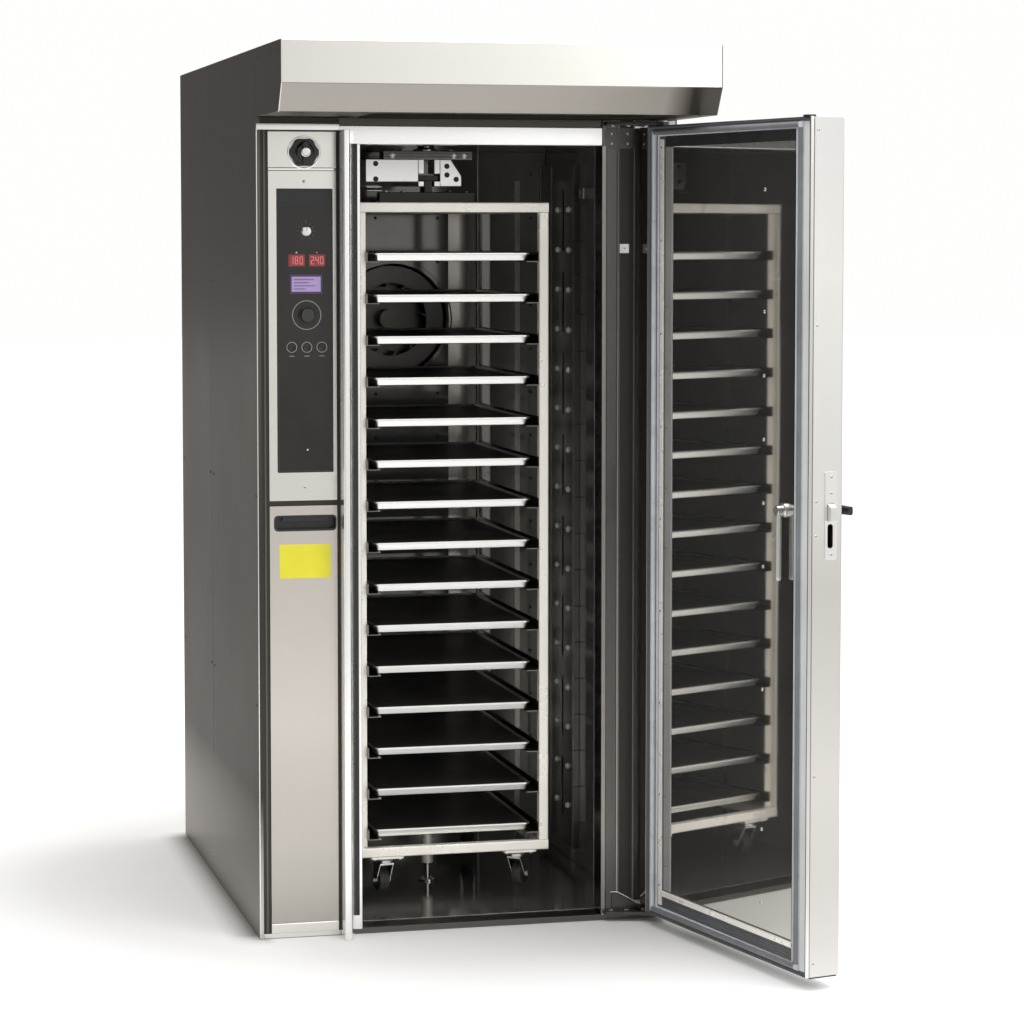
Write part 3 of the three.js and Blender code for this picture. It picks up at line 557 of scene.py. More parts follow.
# ------------------------------------------------------------------ cabinet skins
def cabinet_skins():
    for side, x0, x1, name, node in ((-1, 0.0, 1.6, "left_side", "left_side_panel"), (1, W - 1.6, W, "right_side", "right_side_panel")):
        s = Build()
        inn = 1 if side < 0 else -1
        xo = x0 if side < 0 else x1
        for y0, y1 in ((0.2, 738.6), (741.4, D - 0.3)):
            a, b = sorted((xo, xo + inn * 1.6))
            s.box(a, b, y0, y1, 0.4, H - 0.3, bevel=0.5)
            for yy in (y0, y1):
                if 700 < yy < 780:          # folded seam lips
                    a2, b2 = sorted((xo, xo + inn * 9))
                    s.box(a2, b2, yy - 0.7, yy + 0.7, 12.5, H - 2.6, bevel=0.3)
        a, b = sorted((xo + inn * 0.5, xo + inn * 1.9))
        s.box(a, b, 738.7, 741.3, 0.6, H - 3)
        if side < 0:
            s.box(0.1, 10.0, 0.0, 1.7, 0.4, 1954.3, bevel=0.5)
            s.box(8.6, 10.0, 0.2, 5.6, 12.4, 1954.3, bevel=0.3)
        s.piece(name + "_sheet", PANEL, "cabinet", node)
        f = Build()
        for y in (24, 712, 768, 1276):
            for z in (60, 560, 1060, 1560, 2060):
                f.pan((xo - inn * 0.0, y, z), (side, 0, 0), 3.6, 1.1, slot=1)
        f.piece(name + "_screws", [PANEL, BLACK], "cabinet")

    finish_cad("base_pan", LINER)
    finish_cad("roof_panel", GALV, 0.0006)
    # roof: edge flange screws, stiffening beads and a vent collar
    s = Build()
    for y in (20, 660, 1278):
        for x in (40, 290, 516, 742, 992):
            s.pan((x, y, 2114.9), (0, 0, 1), 4, 1.4, slot=1)
    s.box(118, 914, 200, 212, 2114.6, 2116.4, bevel=0.7)
    s.box(118, 914, 820, 832, 2114.6, 2116.4, bevel=0.7)
    s.piece("roof_fasteners", [GALV, BLACK], "cabinet")
    s = Build()
    s.lathe([(62, 2115.0), (86, 2115.0), (86, 2116.6), (65.5, 2116.6), (65.5, 2124), (62, 2124)], "z", (790, 1120), 40)
    for k in range(6):
        a = math.radians(60 * k + 15)
        s.pan((790 + 76 * math.cos(a), 1120 + 76 * math.sin(a), 2116.5), (0, 0, 1), 3.4, 1.3, slot=1)
    s.lathe([(0, 2115.1), (61.5, 2115.1), (61.5, 2115.8), (0, 2115.8)], "z", (790, 1120), 40, mat=1)
    s.piece("roof_exhaust_collar", [GALV, BLACK], "cabinet")

    # rear panel with pressed louvres and its screws
    s = Build()
    holes = [rrect(331, 701, 1330.5 + 38 * i, 1341.5 + 38 * i, 4, 3) for i in range(7)]
    s.plate(rrect(2.4, W - 2.4, 12.2, H - 2.6, 2, 2), holes, "y", D - 2, D - 0.2, bevel=0.3, seg=1)
    for i in range(7):
        z = 1330.5 + 38 * i
        s.sheet([(D - 0.6, z + 17), (D + 6.0, z + 11), (D + 9.0, z - 1)], 1.2, "x", 331, 701, radius=4, bevel=0.2)
    s.piece("rear_sheet", STEEL_Z, "cabinet", "rear_panel")
    s = Build()
    for x in (16, 270, 516, 762, 1016):
        for z in (30, 560, 1090, 1640, 2096):
            s.pan((x, D - 0.3, z), (0, 1, 0), 4.2, 1.6, slot=1)
    s.lathe([(0, D - 0.4), (13, D - 0.4), (13, D + 3), (11, D + 4), (9, D + 4), (9, D + 7), (0, D + 7)], "y", (190, 260), 24)
    s.lathe([(0, D + 6.5), (7, D + 6.5), (7, D + 8), (0, D + 8)], "y", (190, 260), 20, mat=1)
    s.lathe([(0, D - 0.4), (16, D - 0.4), (16, D + 5), (14.5, D + 6), (0, D + 6)], "y", (842, 1960), 6)
    s.lathe([(0, D + 5.5), (9.5, D + 5.5), (9.5, D + 8.5), (0, D + 8.5)], "y", (842, 1960), 24, mat=1)
    s.piece("rear_fasteners", [GALV, BLACK], "cabinet")


def hood():
    s = Build()
    s.sheet([(-0.6, 2114.6), (-359.6, 2114.6), (-359.6, 2018)], 1.8, "x", 2.0, 1030.0, radius=3.0, bevel=0.3)
    s.piece("hood_skin", STEEL_X, "cabinet", "hood")
    s = Build()     # lower slope with its stiffening fold
    s.sheet([(-359.6, 2017.6), (-359.6, 2016), (-320, 1955.4), (-306, 1955.4)], 1.8, "x", 2.0, 1030.0, radius=1.6, bevel=0.3)
    s.piece("hood_lower_slope", CHAMFER, "cabinet", "hood")
    s = Build()
    s.plate(rrect(2.0, 1030.0, -305.2, -0.6, 1, 2), [rrect(230, 860, -210, -60, 6, 4)], "z", 1955.3, 1957.0, bevel=0.3, seg=1)
    s.rim([(-9, 1954.5), (-0.4, 1954.5), (0.6, 1955.5), (0.6, 1972), (-0.6, 1972), (-0.6, 1956.2), (-9, 1955.9)], 230, 860, -210, -60, plane="xy")
    for x in (12, 1020):
        s.box(x - 9.5, x + 9.5, -300, -2, 1957.1, 1958.3, bevel=0.3)
    s.piece("hood_underside", UNDER, "cabinet", "hood")
    s = Build()     # lit edge of the left end plate
    s.sheet([(-361.0, 2114.4), (-361.0, 2015.4), (-321.0, 1954.4), (-300, 1954.4)], 1.0, "x", 0.2, 3.0, radius=3.0, bevel=0.3)
    s.piece("hood_end_edge", EDGE, "cabinet")
    end = [(-359.8, 2114.8), (-359.8, 2015.9), (-320.2, 1955.2), (-0.5, 1955.2), (-0.5, 2114.8)]
    s = Build()
    for a, b in ((0.1, 1.9), (W - 1.9, W - 0.1)):
        s.plate(end, (), "x", a, b, bevel=0.6, seg=2)
    for xs, n in ((0.1, -1), (W - 0.1, 1)):
        for y, z in ((-24, 2092), (-180, 2092), (-336, 2092), (-24, 1976), (-300, 1976)):
            s.pan((xs, y, z), (n, 0, 0), 3.4, 1.0, slot=1)
    s.piece("hood_end_plates", [PANEL, BLACK], "cabinet", "hood")
    s = Build()
    for x in (60, 200, 545, 890, 1000):
        s.pan((x, -28, 1955.3), (0, 0, -1), 3.6, 1.2, slot=1)
        s.pan((x, -288, 1955.3), (0, 0, -1), 3.6, 1.2, slot=1)
    # grease tray lips below the intake slot
    s.box(238, 852, -222.5, -219.5, 1950.5, 1955.4, bevel=0.6)
    s.box(238, 852, -50.5, -47.5, 1950.5, 1955.4, bevel=0.6)
    s.piece("hood_underside_trim", [UNDER, BLACK], "cabinet")


def front_frame():
    top = 1954.3
    s = Build()       # header: face, folded bottom edge, dark recess above
    s.sheet([(65.4, 1892.4), (0.4, 1892.4), (0.4, 1936.6), (9, 1936.6)][::-1], 2.0, "x", 200.8, 843.4, radius=2.5, bevel=0.3)
    s.piece("header_face", WHITE_STEEL, "cabinet", "front_frame")
    # painted shade: the dark steel in the recess above the header stands for the shade under the hood
    s = Build()
    s.box(200.6, 1028.8, 9.2, 11.0, 1930, top, bevel=0.3)
    s.box(200.6, 1029.2, 11.0, 65, 1952.6, top, bevel=0.3)
    s.piece("header_recess_shade", RECESS, "cabinet", "front_frame")

    # left jamb with the rounded stop profile
    s = Build()
    s.sheet([(200.6, 64), (200.6, 0.4), (249.6, 0.4), (249.6, 64)], 2.0, "z", 12.4, 1892.0, radius=2, bevel=0.3)
    s.piece("left_jamb", WHITE_STEEL, "cabinet", "front_frame")
    s = Build()
    nose = fillet([(200.4, 0.8), (196.8, -3.0), (196.8, -54), (199.5, -57.2), (213, -57.2), (219, -42), (233.5, 0.8)], 5, 7)
    s.plate(nose, (), "z", 0.8, 1924.6, bevel=0.5, seg=2, angle=50)
    s.piece("jamb_stop_profile", WHITE_STEEL, "cabinet", "front_frame")
    s = Build()
    s.plate([(222.0, -0.5), (242.6, -0.5), (242.6, 0.5), (222.0, 0.5)], (), "z", 46, 1892, bevel=0.2)
    for z in (120, 480, 840, 1200, 1560, 1860):
        s.pan((238, -0.5, z), (0, -1, 0), 2.6, 0.5, slot=1)
    s.piece("jamb_shadow_strip", [BLACK_SOFT, BLACK], "cabinet")

    # hinge post: folded lip, face, bead, recessed strip, outer edge
    z0, z1 = 12.4, 1891.6
    s = Build()
    s.sheet([(844.5, 65), (844.5, 0.2), (855, 0.2), (856.5, 1.6), (881, 1.6)], 1.8, "z", z0, top, radius=1.2, bevel=0.2)
    s.piece("post_inner_face", POST, "cabinet", "front_frame")
    s = Build()
    s.plate(fillet([(882, 3), (882, 0.4), (885.5, -0.6), (889, 0.4), (889, 3)], 1.5, 4), (), "z", z0, top, bevel=0.2, angle=60)
    s.plate([(844.2, -0.5), (853.8, -0.5), (854.6, 0.25), (844.2, 0.25)], (), "z", z0, z1, bevel=0.15)
    s.plate([(923.2, 0.4), (923.2, -0.5), (926.6, -0.5), (926.6, 0.4)], (), "z", z0, top, bevel=0.25)
    s.piece("post_beads", BEAD, "cabinet", "front_frame")
    s = Build()
    s.plate([(889.4, 1.4), (923, 1.4), (923, 3.2), (889.4, 3.2)], (), "z", z0, top, bevel=0.2)
    s.piece("post_strip", RECESS_DARK, "cabinet", "front_frame")
    s = Build()
    s.sheet([(923, 0.4), (1029.4, 0.4), (1029.4, 65)][::-1], -1.8, "z", z0, top, radius=2, bevel=0.3)
    s.piece("post_outer_face", MIRROR, "cabinet", "front_frame")

    # sill
    s = Build()
    s.box(250.2, 843.4, 0.4, 65.6, 12.4, 14.8, bevel=0.8)
    s.sheet([(0.4, 12.6), (0.4, 2.5), (12, 2.5)], 1.6, "x", 200.8, 1029.2, radius=1.5, bevel=0.3)
    s.piece("sill", RECESS, "cabinet", "front_frame")

    # hinge lugs, pins' bushes, cover plates and gusset
    lug = [(850, 0.8), (1001.8, 0.8), (1000, -44), (993, -60), (979, -65.8), (964, -61), (930, -36), (850, -18)]
    lug = fillet([lug[0]] + lug[1:] + [lug[0]], 5, 4)[:-1]
    s = Build()
    for a, b in ((1941.2, 1949.8), (16.2, 24.8)):
        s.plate(lug, [circle(979, -50, 8.3, 24)], "z", a, b, bevel=0.9, seg=2)
        s.lathe([(8.4, b - 0.2), (14, b - 0.2), (14, b + 1.6), (13, b + 2.4), (8.4, b + 2.4)], "z", (979, -50), 28, mat=1)
    s.plate(rrect(851, 928, 1885.5, 1935, 12, 6), (), "y", -0.85, 0.5, bevel=0.4, seg=2, mat=0)
    s.piece("hinge_lugs", [LUG, BRIGHT], "cabinet", "front_frame")
    s = Build()
    for x in (868, 908):
        for z in (1898, 1922):
            s.pan((x, -0.8, z), (0, -1, 0), 3.0, 0.3, slot=1)
    for x, y in ((868, -6), (905, -12), (950, -10)):
        s.hexbolt((x, y, 24.8), (0, 0, 1), 5.0, 2.6)
        s.hexbolt((x, y, 1941.2), (0, 0, -1), 4.6, 2.4)
    s.piece("hinge_fixings", [FORK, BLACK], "cabinet")
    s = Build()     # gusset over the lower lug, with a folded bright lip
    s.plate([(872, 24.5), (948, 24.5), (948, 30), (884, 66), (872, 66)], (), "y", -0.85, 0.3, bevel=0.3)
    s.sheet([(868, 68.0), (884.6, 68.0), (950, 31.0)], 2.2, "y", -0.98, 0.2, radius=1, bevel=0.2, mat=1)
    s.piece("hinge_gusset", [LUG, EDGE], "cabinet")
    s = Build()     # small bright clip high on the post
    s.box(888, 912, -0.9, 1.4, 1634, 1656, bevel=0.4)
    s.pan((900, -0.85, 1645), (0, -1, 0), 3.2, 0.6, slot=1)
    s.piece("post_clip", [BRIGHT, BLACK], "cabinet")


# ------------------------------------------------------------------ control column
def column():
    s = Build()
    zt = 1954.2
    s.plate([(10.6, 12.4), (199.6, 12.4), (199.6, zt), (10.6, zt)],
            [rrect(29, 192, 35.2, 1037, 2, 2), rrect(62, 170, 1132, 1773, 4, 3), circle(115, 1872, 9.5, 24)], "y", 6.2, 8.2, bevel=0.25, seg=1)
    s.box(10.5, 12.3, 8.0, 60, 12.6, zt, bevel=0.3)
    s.box(197.6, 199.5, 8.0, 60, 12.6, zt, bevel=0.3)
    s.box(12.3, 197.6, 58.4, 60, 12.6, zt - 1)
    s.box(10.8, 199.4, 8.0, 58, zt - 2, zt, bevel=0.3)
    s.box(10.8, 199.4, 8.0, 58, 12.5, 14.5, bevel=0.3)
    # light bead in the left hand recess
    s.plate(fillet([(17.5, 6.4), (17.5, 4.4), (22.5, 4.4), (22.5, 6.4)], 1.4, 4), (), "z", 14, 1924, bevel=0.2, mat=1, angle=60)
    s.piece("column_recess", [RECESS_DARK, RECESS], "cabinet", "column_frame")

    s = Build()
    s.sheet([(6.0, 1836.4), (2.2, 1836.4), (2.2, 1921.6), (6.0, 1921.6)], -1.4, "x", 29.2, 191.8, radius=1.4, bevel=0.2)
    s.lathe([(0, 2.1), (31, 2.1), (31, 3), (0, 3)], "y", (115, 1872), 40)
    s.piece("switch_panel", STEEL_X, "cabinet", "column_frame")
    s = Build()     # bright escutcheon round the main switch
    s.lathe([(35.2, 2.4), (39.5, 2.4), (39.5, 1.2), (38.2, 0.2), (36.2, 0.2), (35.2, 1.2)], "y", (115, 1872), 56)
    s.box(0.4, 199.8, -2.6, 1.6, 1924.6, 1940, bevel=1.0)
    s.box(0.3, 2.6, -1.2, 1.6, 14, 1926, bevel=0.3)
    s.box(29.4, 191.6, 2.4, 6.0, 1829.9, 1835.2, bevel=0.3)
    s.piece("switch_escutcheon", BRIGHT, "cabinet")
    s = Build()     # plinth strip under the service door
    s.sheet([(8.0, 33.8), (2.4, 33.8), (2.4, 13.2), (8.0, 13.2)][::-1], 1.4, "x", 29.2, 191.8, radius=1.4, bevel=0.2)
    s.sheet([(1.6, 12.3), (1.6, 1.0), (9, 1.0)], 1.2, "x", 10.9, 196.2, radius=1.2, bevel=0.2)
    s.piece("plinth_strip", STEEL_X, "cabinet", "column_frame")

    # bezel round the control glass
    s = Build()
    s.plate(rrect(29.2, 191.8, 1049.2, 1828.8, 2.5, 4), [rrect(48.9, 183.1, 1116.1, 1787.1, 2.0, 4)], "y", 2.1, 4.0, bevel=0.5, seg=2)
    s.rim([(0, 3.6), (1.4, 3.6), (1.4, 5.9), (0, 5.9)], 29.4, 191.6, 1049.4, 1828.6)
    s.piece("control_bezel_plate", STEEL_X, "cabinet", "column_frame")
    s = Build()
    s.pan((115, 2.1, 1803), (0, -1, 0), 4.2, 1.6, slot=1)
    s.pan((115, 2.1, 1080), (0, -1, 0), 4.2, 1.6, slot=1)
    s.piece("bezel_screws", [FORK, BLACK], "cabinet")

    # glass: a black plate, darker printed edge, windows, rings
    s = Build()
    s.plate(rrect(49.4, 182.6, 1116.5, 1786.5, 2, 4), [circle(84, 1413, 11, 28), circle(120, 1413, 11, 28), circle(156, 1413, 11, 28)],
            "y", 1.2, 5.4, bevel=0.5, seg=2)
    s.piece("control_glass_plate", GLASS_CTRL, "cabinet", "control_glass")
    s = Build()
    s.rim([(0.6, 1.05), (5.0, 1.05), (5.0, 1.3), (0.6, 1.3)], 49.4, 182.6, 1116.5, 1786.5)
    s.box(55, 177.6, 1.02, 1.3, 1746, 1781)
    s.piece("glass_printed_edge", BLACK_SOFT, "cabinet")
    s = Build()
    for x0, x1 in ((77, 116), (126.5, 164.5)):
        s.box(x0, x1, 0.85, 1.4, 1604, 1632, bevel=0.2)
    s.piece("display_windows", LED_WIN, "cabinet")
    s = Build()
    s.box(80, 158, 0.8, 1.4, 1539, 1585, bevel=0.3)
    s.piece("lcd_frame", LCD_RIM, "cabinet")

    # seven segment digits, plain numbers
    seg = {"0": "abcdef", "1": "bc", "2": "abged", "4": "fgbc", "5": "afgcd", "8": "abcdefg"}
    s = Build()

    def digit(ch, x, z, w, h, t):
        bars = {"a": (x, x + w, z + h - t, z + h), "d": (x, x + w, z, z + t), "g": (x, x + w, z + (h - t) / 2, z + (h + t) / 2),
                "f": (x, x + t, z + h / 2, z + h), "b": (x + w - t, x + w, z + h / 2, z + h),
                "e": (x, x + t, z, z + h / 2), "c": (x + w - t, x + w, z, z + h / 2)}
        for k in seg[ch]:
            a, b, c, d = bars[k]
            s.box(a + 0.3, b - 0.3, 0.66, 0.9, c + 0.3, d - 0.3)
    for i, ch in enumerate("180"):
        digit(ch, 80.5 + 11.4 * i, 1608.5, 8.4, 19, 2.3)
    for i, ch in enumerate("240"):
        digit(ch, 130.0 + 11.2 * i, 1608.5, 8.4, 19, 2.3)
    s.piece("display_digits", LED_RED, "cabinet")
    s = Build()
    s.box(83.5, 154.5, 0.58, 0.9, 1543.5, 1580.5, bevel=0.1)
    s.piece("lcd_panel", LCD, "cabinet")
    s = Build()
    for k in range(4):
        s.box(89, 89 + (48, 36, 52, 28)[k], 0.44, 0.6, 1571.5 - 7.4 * k, 1574.4 - 7.4 * k)
    s.piece("lcd_marks", LCD_MARK, "cabinet")
    s = Build()
    s.rim([(-1.8, 0.5), (0.8, 0.5), (0.8, 0.9), (-1.8, 0.9)], 83.5, 154.5, 1543.5, 1580.5)
    s.piece("lcd_rim", LCD_RIM, "cabinet")
    s = Build()
    for x, z, r in ((96, 1636.6, 1.9), (144.5, 1636.6, 1.2), (121, 1169.8, 2.2)):
        s.lathe([(0, 1.3), (r, 1.3), (r, 0.7), (r * 0.6, 0.45), (0, 0.45)], "y", (x, z), 16)
    s.piece("indicator_lamps", GREY_CAP, "cabinet")
    s = Build()     # printed ring, tick marks and button rings
    s.lathe([(33.2, 1.3), (34.6, 1.3), (34.6, 0.95), (33.2, 0.95)], "y", (120, 1489), 64)
    for k in range(11):
        a = math.radians(-60 + 30 * k)
        m = Matrix.Translation((119, 0, 1687)) @ Matrix.Rotation(a - math.radians(90), 4, "Y")
        if 0 <= k <= 10:
            s.box(-0.5, 0.5, 0.95, 1.3, 17.5, 21.5, xf=m, mat=1)
    s.box(118.2, 119.8, 0.93, 1.3, 1706, 1714, mat=1)
    for x in (84, 120, 156):
        s.lathe([(11.1, 1.4), (12.6, 1.4), (12.6, 0.7), (12.0, 0.5), (11.1, 0.7)], "y", (x, 1413), 36)
        s.box(x - 6, x + 6, 0.95, 1.3, 1391.5, 1392.8)
    s.piece("panel_print", [PRINT, PRINT_DIM], "cabinet")

    # knobs and buttons
    s = Build()
    hexa = [((33.2 + 1.6 * math.cos(6 * t)) * math.cos(t) + 115, (33.2 + 1.6 * math.cos(6 * t)) * math.sin(t) + 1872) for t in [2 * math.pi * i / 72 for i in range(72)]]
    s.plate(hexa, (), "y", -6.6, 1.5, bevel=1.6, seg=3, angle=50)
    s.lathe([(0, -6.2), (24, -6.2), (21, -9), (19.6, -18.6), (18, -20), (0, -20)], "y", (115, 1872), 36)
    grip = [(107.4, 1850), (111, 1846.3), (119, 1846.3), (122.6, 1850), (122.6, 1893), (117.5, 1897.8), (112.5, 1897.8), (107.4, 1893)]
    s.plate(fillet([grip[0]] + grip[1:] + [grip[0]], 3, 3)[:-1], (), "y", -26.8, -7, bevel=1.8, seg=3)
    s.piece("main_switch_body", BLACK_SOFT, "main_switch_knob", "main_switch_knob")
    s = Build()
    s.lathe([(0, -20.0), (11.2, -20.0), (11.2, -26.6), (10.2, -27.6), (8.4, -27.8), (7.6, -27.2), (0, -27.2)], "y", (115, 1872), 36)
    s.box(114.3, 115.7, -27.6, -27.0, 1873, 1880, bevel=0.2)
    s.piece("main_switch_cap", KNOB_ALU, "main_switch_knob")
    s = Build()
    s.lathe([(0, 0.6), (11.8, 0.6), (12, 0.2), (12, -3), (11.2, -4), (10.6, -12), (9.6, -13), (0, -13.3)], "y", (119, 1687), 40)
    s.box(118.3, 119.7, -13.75, -12.9, 1688, 1697, bevel=0.2, mat=1)
    s.piece("set_knob_turned", [KNOB_ALU, BLACK], "set_knob", "set_knob")
    s = Build()
    s.lathe([(0, 0.6), (19.6, 0.6), (20, 0), (20, -3.5), (18.6, -5.2), (0, -5.2)], "y", (120, 1489), 48)
    s.lathe([(0, -5.0), (16.6, -5.0), (15.8, -17.2), (14.8, -18.2), (0, -18.4)], "y", (120, 1489), 40, mat=1)
    for k in range(24):
        a = 2 * math.pi * k / 24
        s.cyl("y", 120 + 19.2 * math.cos(a), 1489 + 19.2 * math.sin(a), -4.6, -0.2, 1.2, 8)
    s.box(119.3, 120.7, -18.9, -18.0, 1491, 1500, bevel=0.2)
    s.piece("program_knob_body", [BLACK_SOFT, FACE_GREY], "program_knob", "program_knob")
    for i, x in enumerate((84, 120, 156)):
        s = Build()
        s.lathe([(0, 8), (6.8, 8), (6.8, 5.6), (10.2, 5.6), (10.2, -1.2), (9.4, -2.3), (7.5, -2.45), (6.5, -1.9), (0, -1.6)], "y", (x, 1413), 36)
        s.piece("button_cap_%d" % (i + 1), GLASS_CTRL, "button_%d" % (i + 1), "button_%d" % (i + 1))

    # service door below
    s = Build()
    s.plate(rrect(29.2, 191.8, 35.3, 1036.7, 3, 4), [rrect(42, 188.4, 979, 1012, 9, 5)], "y", 2.1, 3.7, bevel=0.5, seg=2)
    s.rim([(0, 3.4), (1.5, 3.4), (1.5, 19.8), (0, 19.8)], 29.4, 191.6, 35.5, 1036.5)
    s.rim([(1.5, 18.4), (13, 18.4), (13, 19.8), (1.5, 19.8)], 29.4, 191.6, 35.5, 1036.5)
    s.piece("service_door_skin", SERVICE, "service_door", "service_door")
    s = Build()
    s.plate(rrect(39.5, 190, 976.5, 1014.5, 10, 5), [rrect(44.5, 186, 981.5, 1010, 7, 5)], "y", 0.9, 2.6, bevel=0.6, seg=2)
    s.plate(rrect(42.6, 187.8, 979.6, 1011.4, 8, 5), [rrect(44.2, 186.2, 981.2, 1009.8, 7, 5)], "y", 2.4, 16.5)
    s.plate(rrect(43.6, 186.8, 980.6, 1010.4, 8, 5), (), "y", 15.4, 17.0)
    s.box(60, 170, 2.5, 4.2, 1000.5, 1010, bevel=0.7)
    s.piece("service_door_pull", BLACK_SOFT, "service_door", "service_door")
    s = Build()
    s.plate(rrect(52.5, 175.5, 864, 945, 2.5, 4), (), "y", 1.88, 2.2, bevel=0.1, seg=1)
    s.piece("blank_sticker", YELLOW, "service_door")
    s = Build()
    for z in (140, 536, 930):
        s.lathe([(0, z - 18), (4.2, z - 18), (4.2, z + 18), (0, z + 18)], "z", (28.8, 22.5), 16)
    s.piece("service_door_pins", STEEL_Z, "service_door")


# ------------------------------------------------------------------ chamber
def chamber():
    finish_cad("chamber_liner", LINER, 0.0010)
    finish_cad("chamber_ceiling", LINER, 0.0010)
    finish_cad("fan_wall", LINER, 0.0010)
    finish_cad("air_duct", DUCT, 0.0010)
    for n, m in (("fan_impeller", RECESS), ("heater_steam_unit", POST), ("fan_motor", MACHINE),
                 ("drive_gearmotor", MACHINE), ("lift_bearing", GALV), ("insulation", WOOL)):
        finish_cad(n, m, 0.0010 if n != "insulation" else 0.004)
    s = Build()     # polished floor plate
    s.plate([(253, 70), (939.6, 70), (939.6, 914.6), (92.4, 914.6), (92.4, 230.4)], (), "z", 14.95, 15.35, bevel=0.1, seg=1)
    s.piece("chamber_floor_plate", FLOORM, "cabinet")
    s = Build()     # wall seams, upright edge strips and rivets
    s.box(855, 869, 914.0, 916.2, 16, 1822, bevel=0.7)
    s.box(750, 755, 914.4, 916.2, 16, 1899, bevel=0.5)
    bulge = [(670 + 76 * k / 10, 915.6 - 2.4 * math.sin(math.pi * k / 10)) for k in range(11)]
    s.plate(bulge + [(746, 916.2), (670, 916.2)], (), "z", 196, 1752, bevel=0.0)
    s.box(91.1, 92.2, 560, 574, 16, 1899, bevel=0.3)
    s.box(939.8, 940.9, 250, 262, 16, 1899, bevel=0.3)
    s.piece("wall_strips", STEEL_Z, "cabinet")
    s = Build()
    for z in [70 + 118 * k for k in range(16)]:
        for x in (130, 300, 470, 640, 900):
            if (x - 516) ** 2 + (z - 1450) ** 2 > 175 ** 2:
                s.lathe([(0, 916), (4.2, 916), (3.6, 914.6), (1.8, 913.9), (0, 913.8)], "y", (x, z), 14)
        for y in (290, 520, 700):
            s.lathe([(0, 91.1), (4.2, 91.1), (3.6, 92.4), (1.8, 93.1), (0, 93.2)], "x", (y, z), 14)
    s.piece("wall_rivets", BLACK, "cabinet")
    s = Build()     # fan guard on the back wall, clear of the fan hole
    for r in (152, 160):
        s.lathe([(r, 915.8), (r + 4, 915.8), (r + 3.4, 912.8), (r + 0.6, 912.8)], "y", (516, 1450), 60)
    s.piece("fan_hole_ring", LINER, "cabinet")

    # air duct: bolts beside the slots, edge strips, bracket
    s = Build()
    s.box(922.8, 925.2, 561, 569, 61, 1859, bevel=0.6)
    s.box(922.6, 925.2, 785, 800, 61, 1859, bevel=0.8)
    s.box(923.4, 925.2, 905, 914, 61, 1859, bevel=0.5)
    b = Build()
    for k in range(16):
        z = 1743 - 105.0 * k
        for y in (614, 723):
            b.lathe([(0, 925.0), (8.6, 925.0), (8.4, 923.6), (6.4, 922.2), (6.0, 919.2), (4.4, 918.2), (0, 918.0)], "x", (y, z), 16)
    s.piece("duct_edge_strips", [BEAD, BLACK], "cabinet")
    b.piece("duct_bolts", BOLT, "cabinet")
    s = Build()     # bolts on the duct's front wall, which faces the door
    for k in range(18):
        z = 1757 - 95.6 * k
        if z < 70:
            break
        for x in (929.4, 936.6):
            s.lathe([(0, 560.2), (2.4, 560.2), (2.1, 558.6), (0, 558.2)], "y", (x, z), 12)
    s.piece("duct_front_rivets", BLACK, "cabinet")
    s = Build()
    s.sheet([(940.6, 420), (912, 420), (912, 460)], 2.0, "z", 1770, 1796, radius=3, bevel=0.4)
    s.hexbolt((911.9, 446, 1783), (-1, 0, 0), 5, 3)
    s.piece("wall_bracket", STEEL_X, "cabinet")


